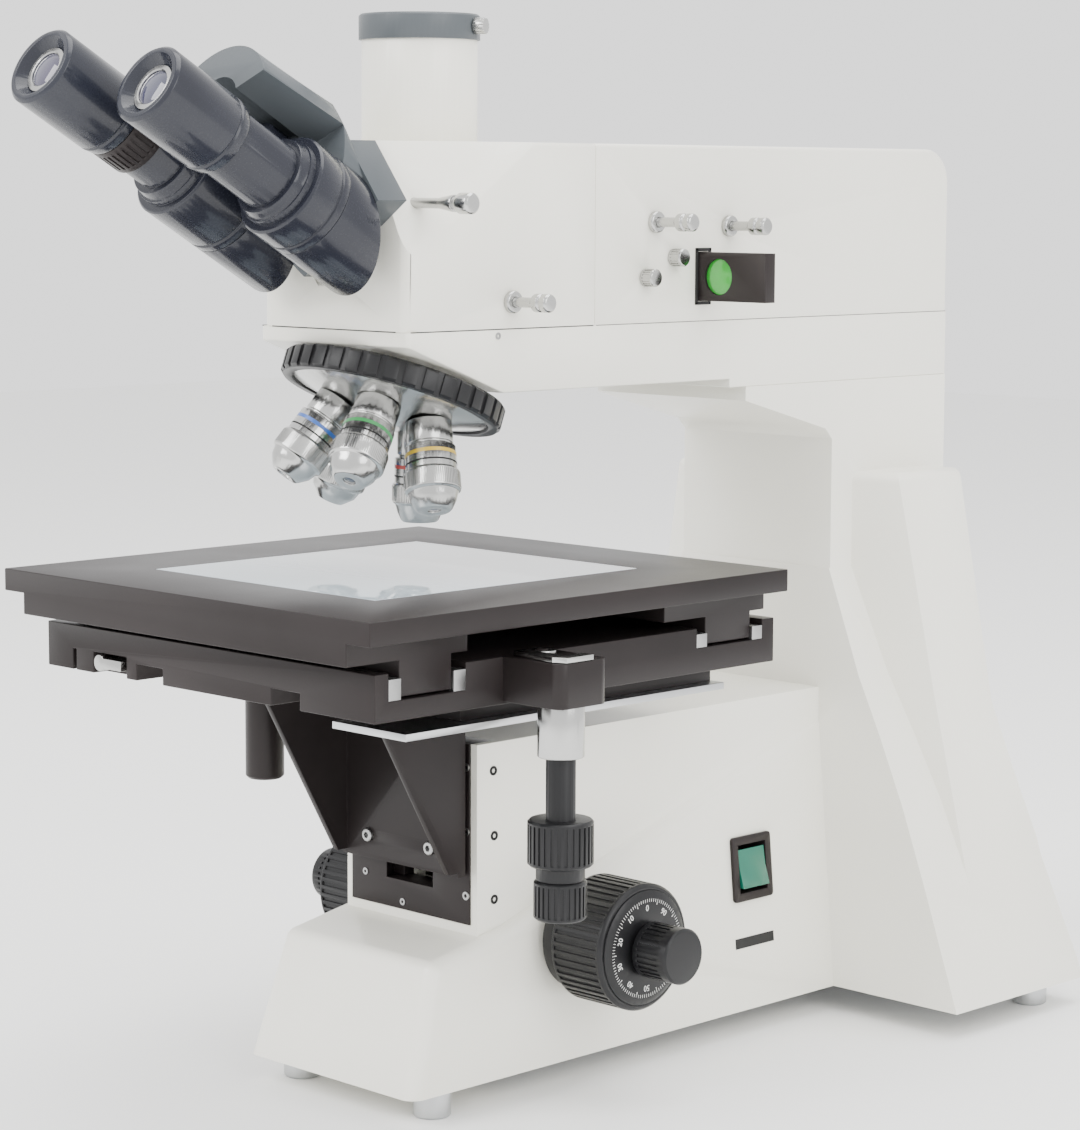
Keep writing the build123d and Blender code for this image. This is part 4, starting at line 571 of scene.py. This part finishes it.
# Fine focus dial: graduations and generic numbers on its face, each set of ticks inset from the same circle
dialSet = {
    "centre": (0, 54.5, 78.0),
    "markHeight": 106.42,
    "markThick": 0.16,
    "tickCircle": 26.4,
    "ticks": [
        {"count": 100, "inset": 2.3, "long": 1.6, "wide": 0.22},
        {"count": 10, "inset": 2.9, "long": 2.8, "wide": 0.36},
    ],
    "numberCount": 10,
    "numberStep": 10,
    "numberRadius": 20.2,
    "numberSize": 4.2,
    "numberThick": 0.08,
}


def numberMesh(settings, index):
    curve = bpy.data.curves.new("number", "FONT")
    curve.body = str(index * settings["numberStep"])
    curve.size = settings["numberSize"] * mm
    curve.align_x = "CENTER"
    curve.align_y = "CENTER"
    curve.extrude = settings["numberThick"] * mm
    holder = bpy.data.objects.new("number", curve)
    scene.collection.objects.link(holder)
    deps = bpy.context.evaluated_depsgraph_get()
    mesh = bpy.data.meshes.new_from_object(holder.evaluated_get(deps))
    bpy.data.objects.remove(holder)
    return mesh


def dialMarks(settings):
    plane = planeAt(settings["centre"], (1, 0, 0), (0, 1, 0))
    height = settings["markHeight"]
    meshes = []
    for tick in settings["ticks"]:
        meshes.append(ridgeMesh(plane, settings["tickCircle"] - tick["inset"], tick["count"], tick["long"],
                                tick["wide"], settings["markThick"], height, "white_marking"))
    place = Matrix.Translation((0, settings["numberRadius"] * mm, height * mm))
    for index in range(settings["numberCount"]):
        number = numberMesh(settings, index)
        turn = Matrix.Rotation(2 * math.pi * index / settings["numberCount"], 4, "Z")
        number.transform(plane @ turn @ place)
        meshes.append(number)
    filePiece("dialMarks", joinMeshes(meshes), "fine_focus", "white_marking")


dialMarks(dialSet)
print("dial marked")

# Socket screws and set screws: the head is its radius, its height and the socket's radius
screwRows = {
    "gibScrews": {
        "body": "stand", "facing": (0, -1, 0), "head": (2.1, 1.2, 1.1), "finish": "ground_steel",
        "places": [(41.4, -7.3, 168.4), (41.4, -7.3, 136.0), (41.4, -7.3, 103.7)]},
    "guideScrews": {
        "body": "stand", "facing": (0, -1, 0), "head": (1.8, 0.8, 0.9), "finish": "ground_steel",
        "places": [(-33.0, -7.3, 104.4), (-5.0, -7.3, 93.0)]},
    "sideScrews": {
        "body": "stand", "facing": (1, 0, 0), "head": (2.4, 0.8, 1.2), "finish": "dark_socket",
        "places": [(48.0, 4.7, 166.0), (48.0, 5.4, 133.2), (48.0, 5.5, 101.0)]},
    "driveScrew": {
        "body": "stage_cross", "facing": (1, 0, 0), "head": (1.9, 0.4, 1.0), "finish": "dark_socket",
        "places": [(157.79, -42.2, 226.3)]},
    "armPin": {
        "body": "stand", "facing": (1, 0, 0), "head": (1.7, 0.8, 0.8), "finish": "ground_steel",
        "places": [(54.0, 1.5, 380.8)]},
    "coverScrews": {
        "body": "stand", "facing": (0, 0, -1), "head": (2.5, 1.0, 1.2), "finish": "ground_steel",
        "places": [(-95.0, 300.0, 14.4), (95.0, 300.0, 14.4), (0.0, 40.0, 14.4)]},
}


def addScrews(rows):
    for name, row in rows.items():
        mesh = screwMesh(row["places"], row["facing"], *row["head"], row["finish"])
        filePiece(name, mesh, row["body"], row["finish"])


addScrews(screwRows)
print("screws set")

# Blank strip below the switch, on the base's leaning wall. wallX is where the wall stands at leanStart
stripSet = {
    "wallX": 62.0,
    "leanStart": 14.0,
    "lean": 0.091,
    "at": (191.2, 50.2),
    "size": (31.0, 5.5, 0.4),
    "sunk": 0.1,
    "soft": 0.1,
}


def addStrip(settings):
    y, z = settings["at"]
    x = settings["wallX"] - settings["lean"] * (z - settings["leanStart"])
    plane = planeAt((x, y, z), (1, 0, settings["lean"]), (0, 1, 0))
    lift = settings["size"][2] / 2 - settings["sunk"]
    strip = blockMesh((0, 0, lift), settings["size"], plane, settings["soft"])
    filePiece("blankStrip", strip, "stand", "black_plastic")


# Frame of four bars round the filter slider's mouth, on the illuminator's right side
filterFrameSet = {
    "centre": (54.0, 149.0, 407.0),
    "lift": 0.4,
    "postAt": 5.0,
    "postSize": (1.6, 29.0, 1.0),
    "railAt": 13.8,
    "railSize": (11.6, 1.6, 1.0),
    "soft": 0.2,
}


def addFilterFrame(settings):
    plane = planeAt(settings["centre"], (1, 0, 0), (0, 1, 0))
    lift, soft = settings["lift"], settings["soft"]
    posts = [blockMesh((x, 0, lift), settings["postSize"], plane, soft)
             for x in (-settings["postAt"], settings["postAt"])]
    rails = [blockMesh((0, y, lift), settings["railSize"], plane, soft)
             for y in (-settings["railAt"], settings["railAt"])]
    filePiece("filterFrame", joinMeshes(posts + rails), "stand", "black_plastic")


# Seams between the housings and the arm: on each side the head's and the illuminator's, and one in front
seamSet = {
    "height": 384.0,
    "sideX": 54.0,
    "sideSeams": [{"y": 6.0, "size": (0.12, 124.0, 0.5)}, {"y": 212.0, "size": (0.12, 284.0, 0.3)}],
    "frontY": -57.3,
    "frontSize": (90.0, 0.12, 0.5),
    "soft": 0.02,
}


def addSeams(settings):
    height, soft = settings["height"], settings["soft"]
    worldPlane = Matrix.Identity(4)
    seams = []
    for x in (-settings["sideX"], settings["sideX"]):
        for seam in settings["sideSeams"]:
            seams.append(blockMesh((x, seam["y"], height), seam["size"], worldPlane, soft))
    seams.append(blockMesh((0.0, settings["frontY"], height), settings["frontSize"], worldPlane, soft))
    filePiece("housingSeams", joinMeshes(seams), "stand", "dark_socket")


addStrip(stripSet)
addFilterFrame(filterFrameSet)
addSeams(seamSet)
print("trim added")
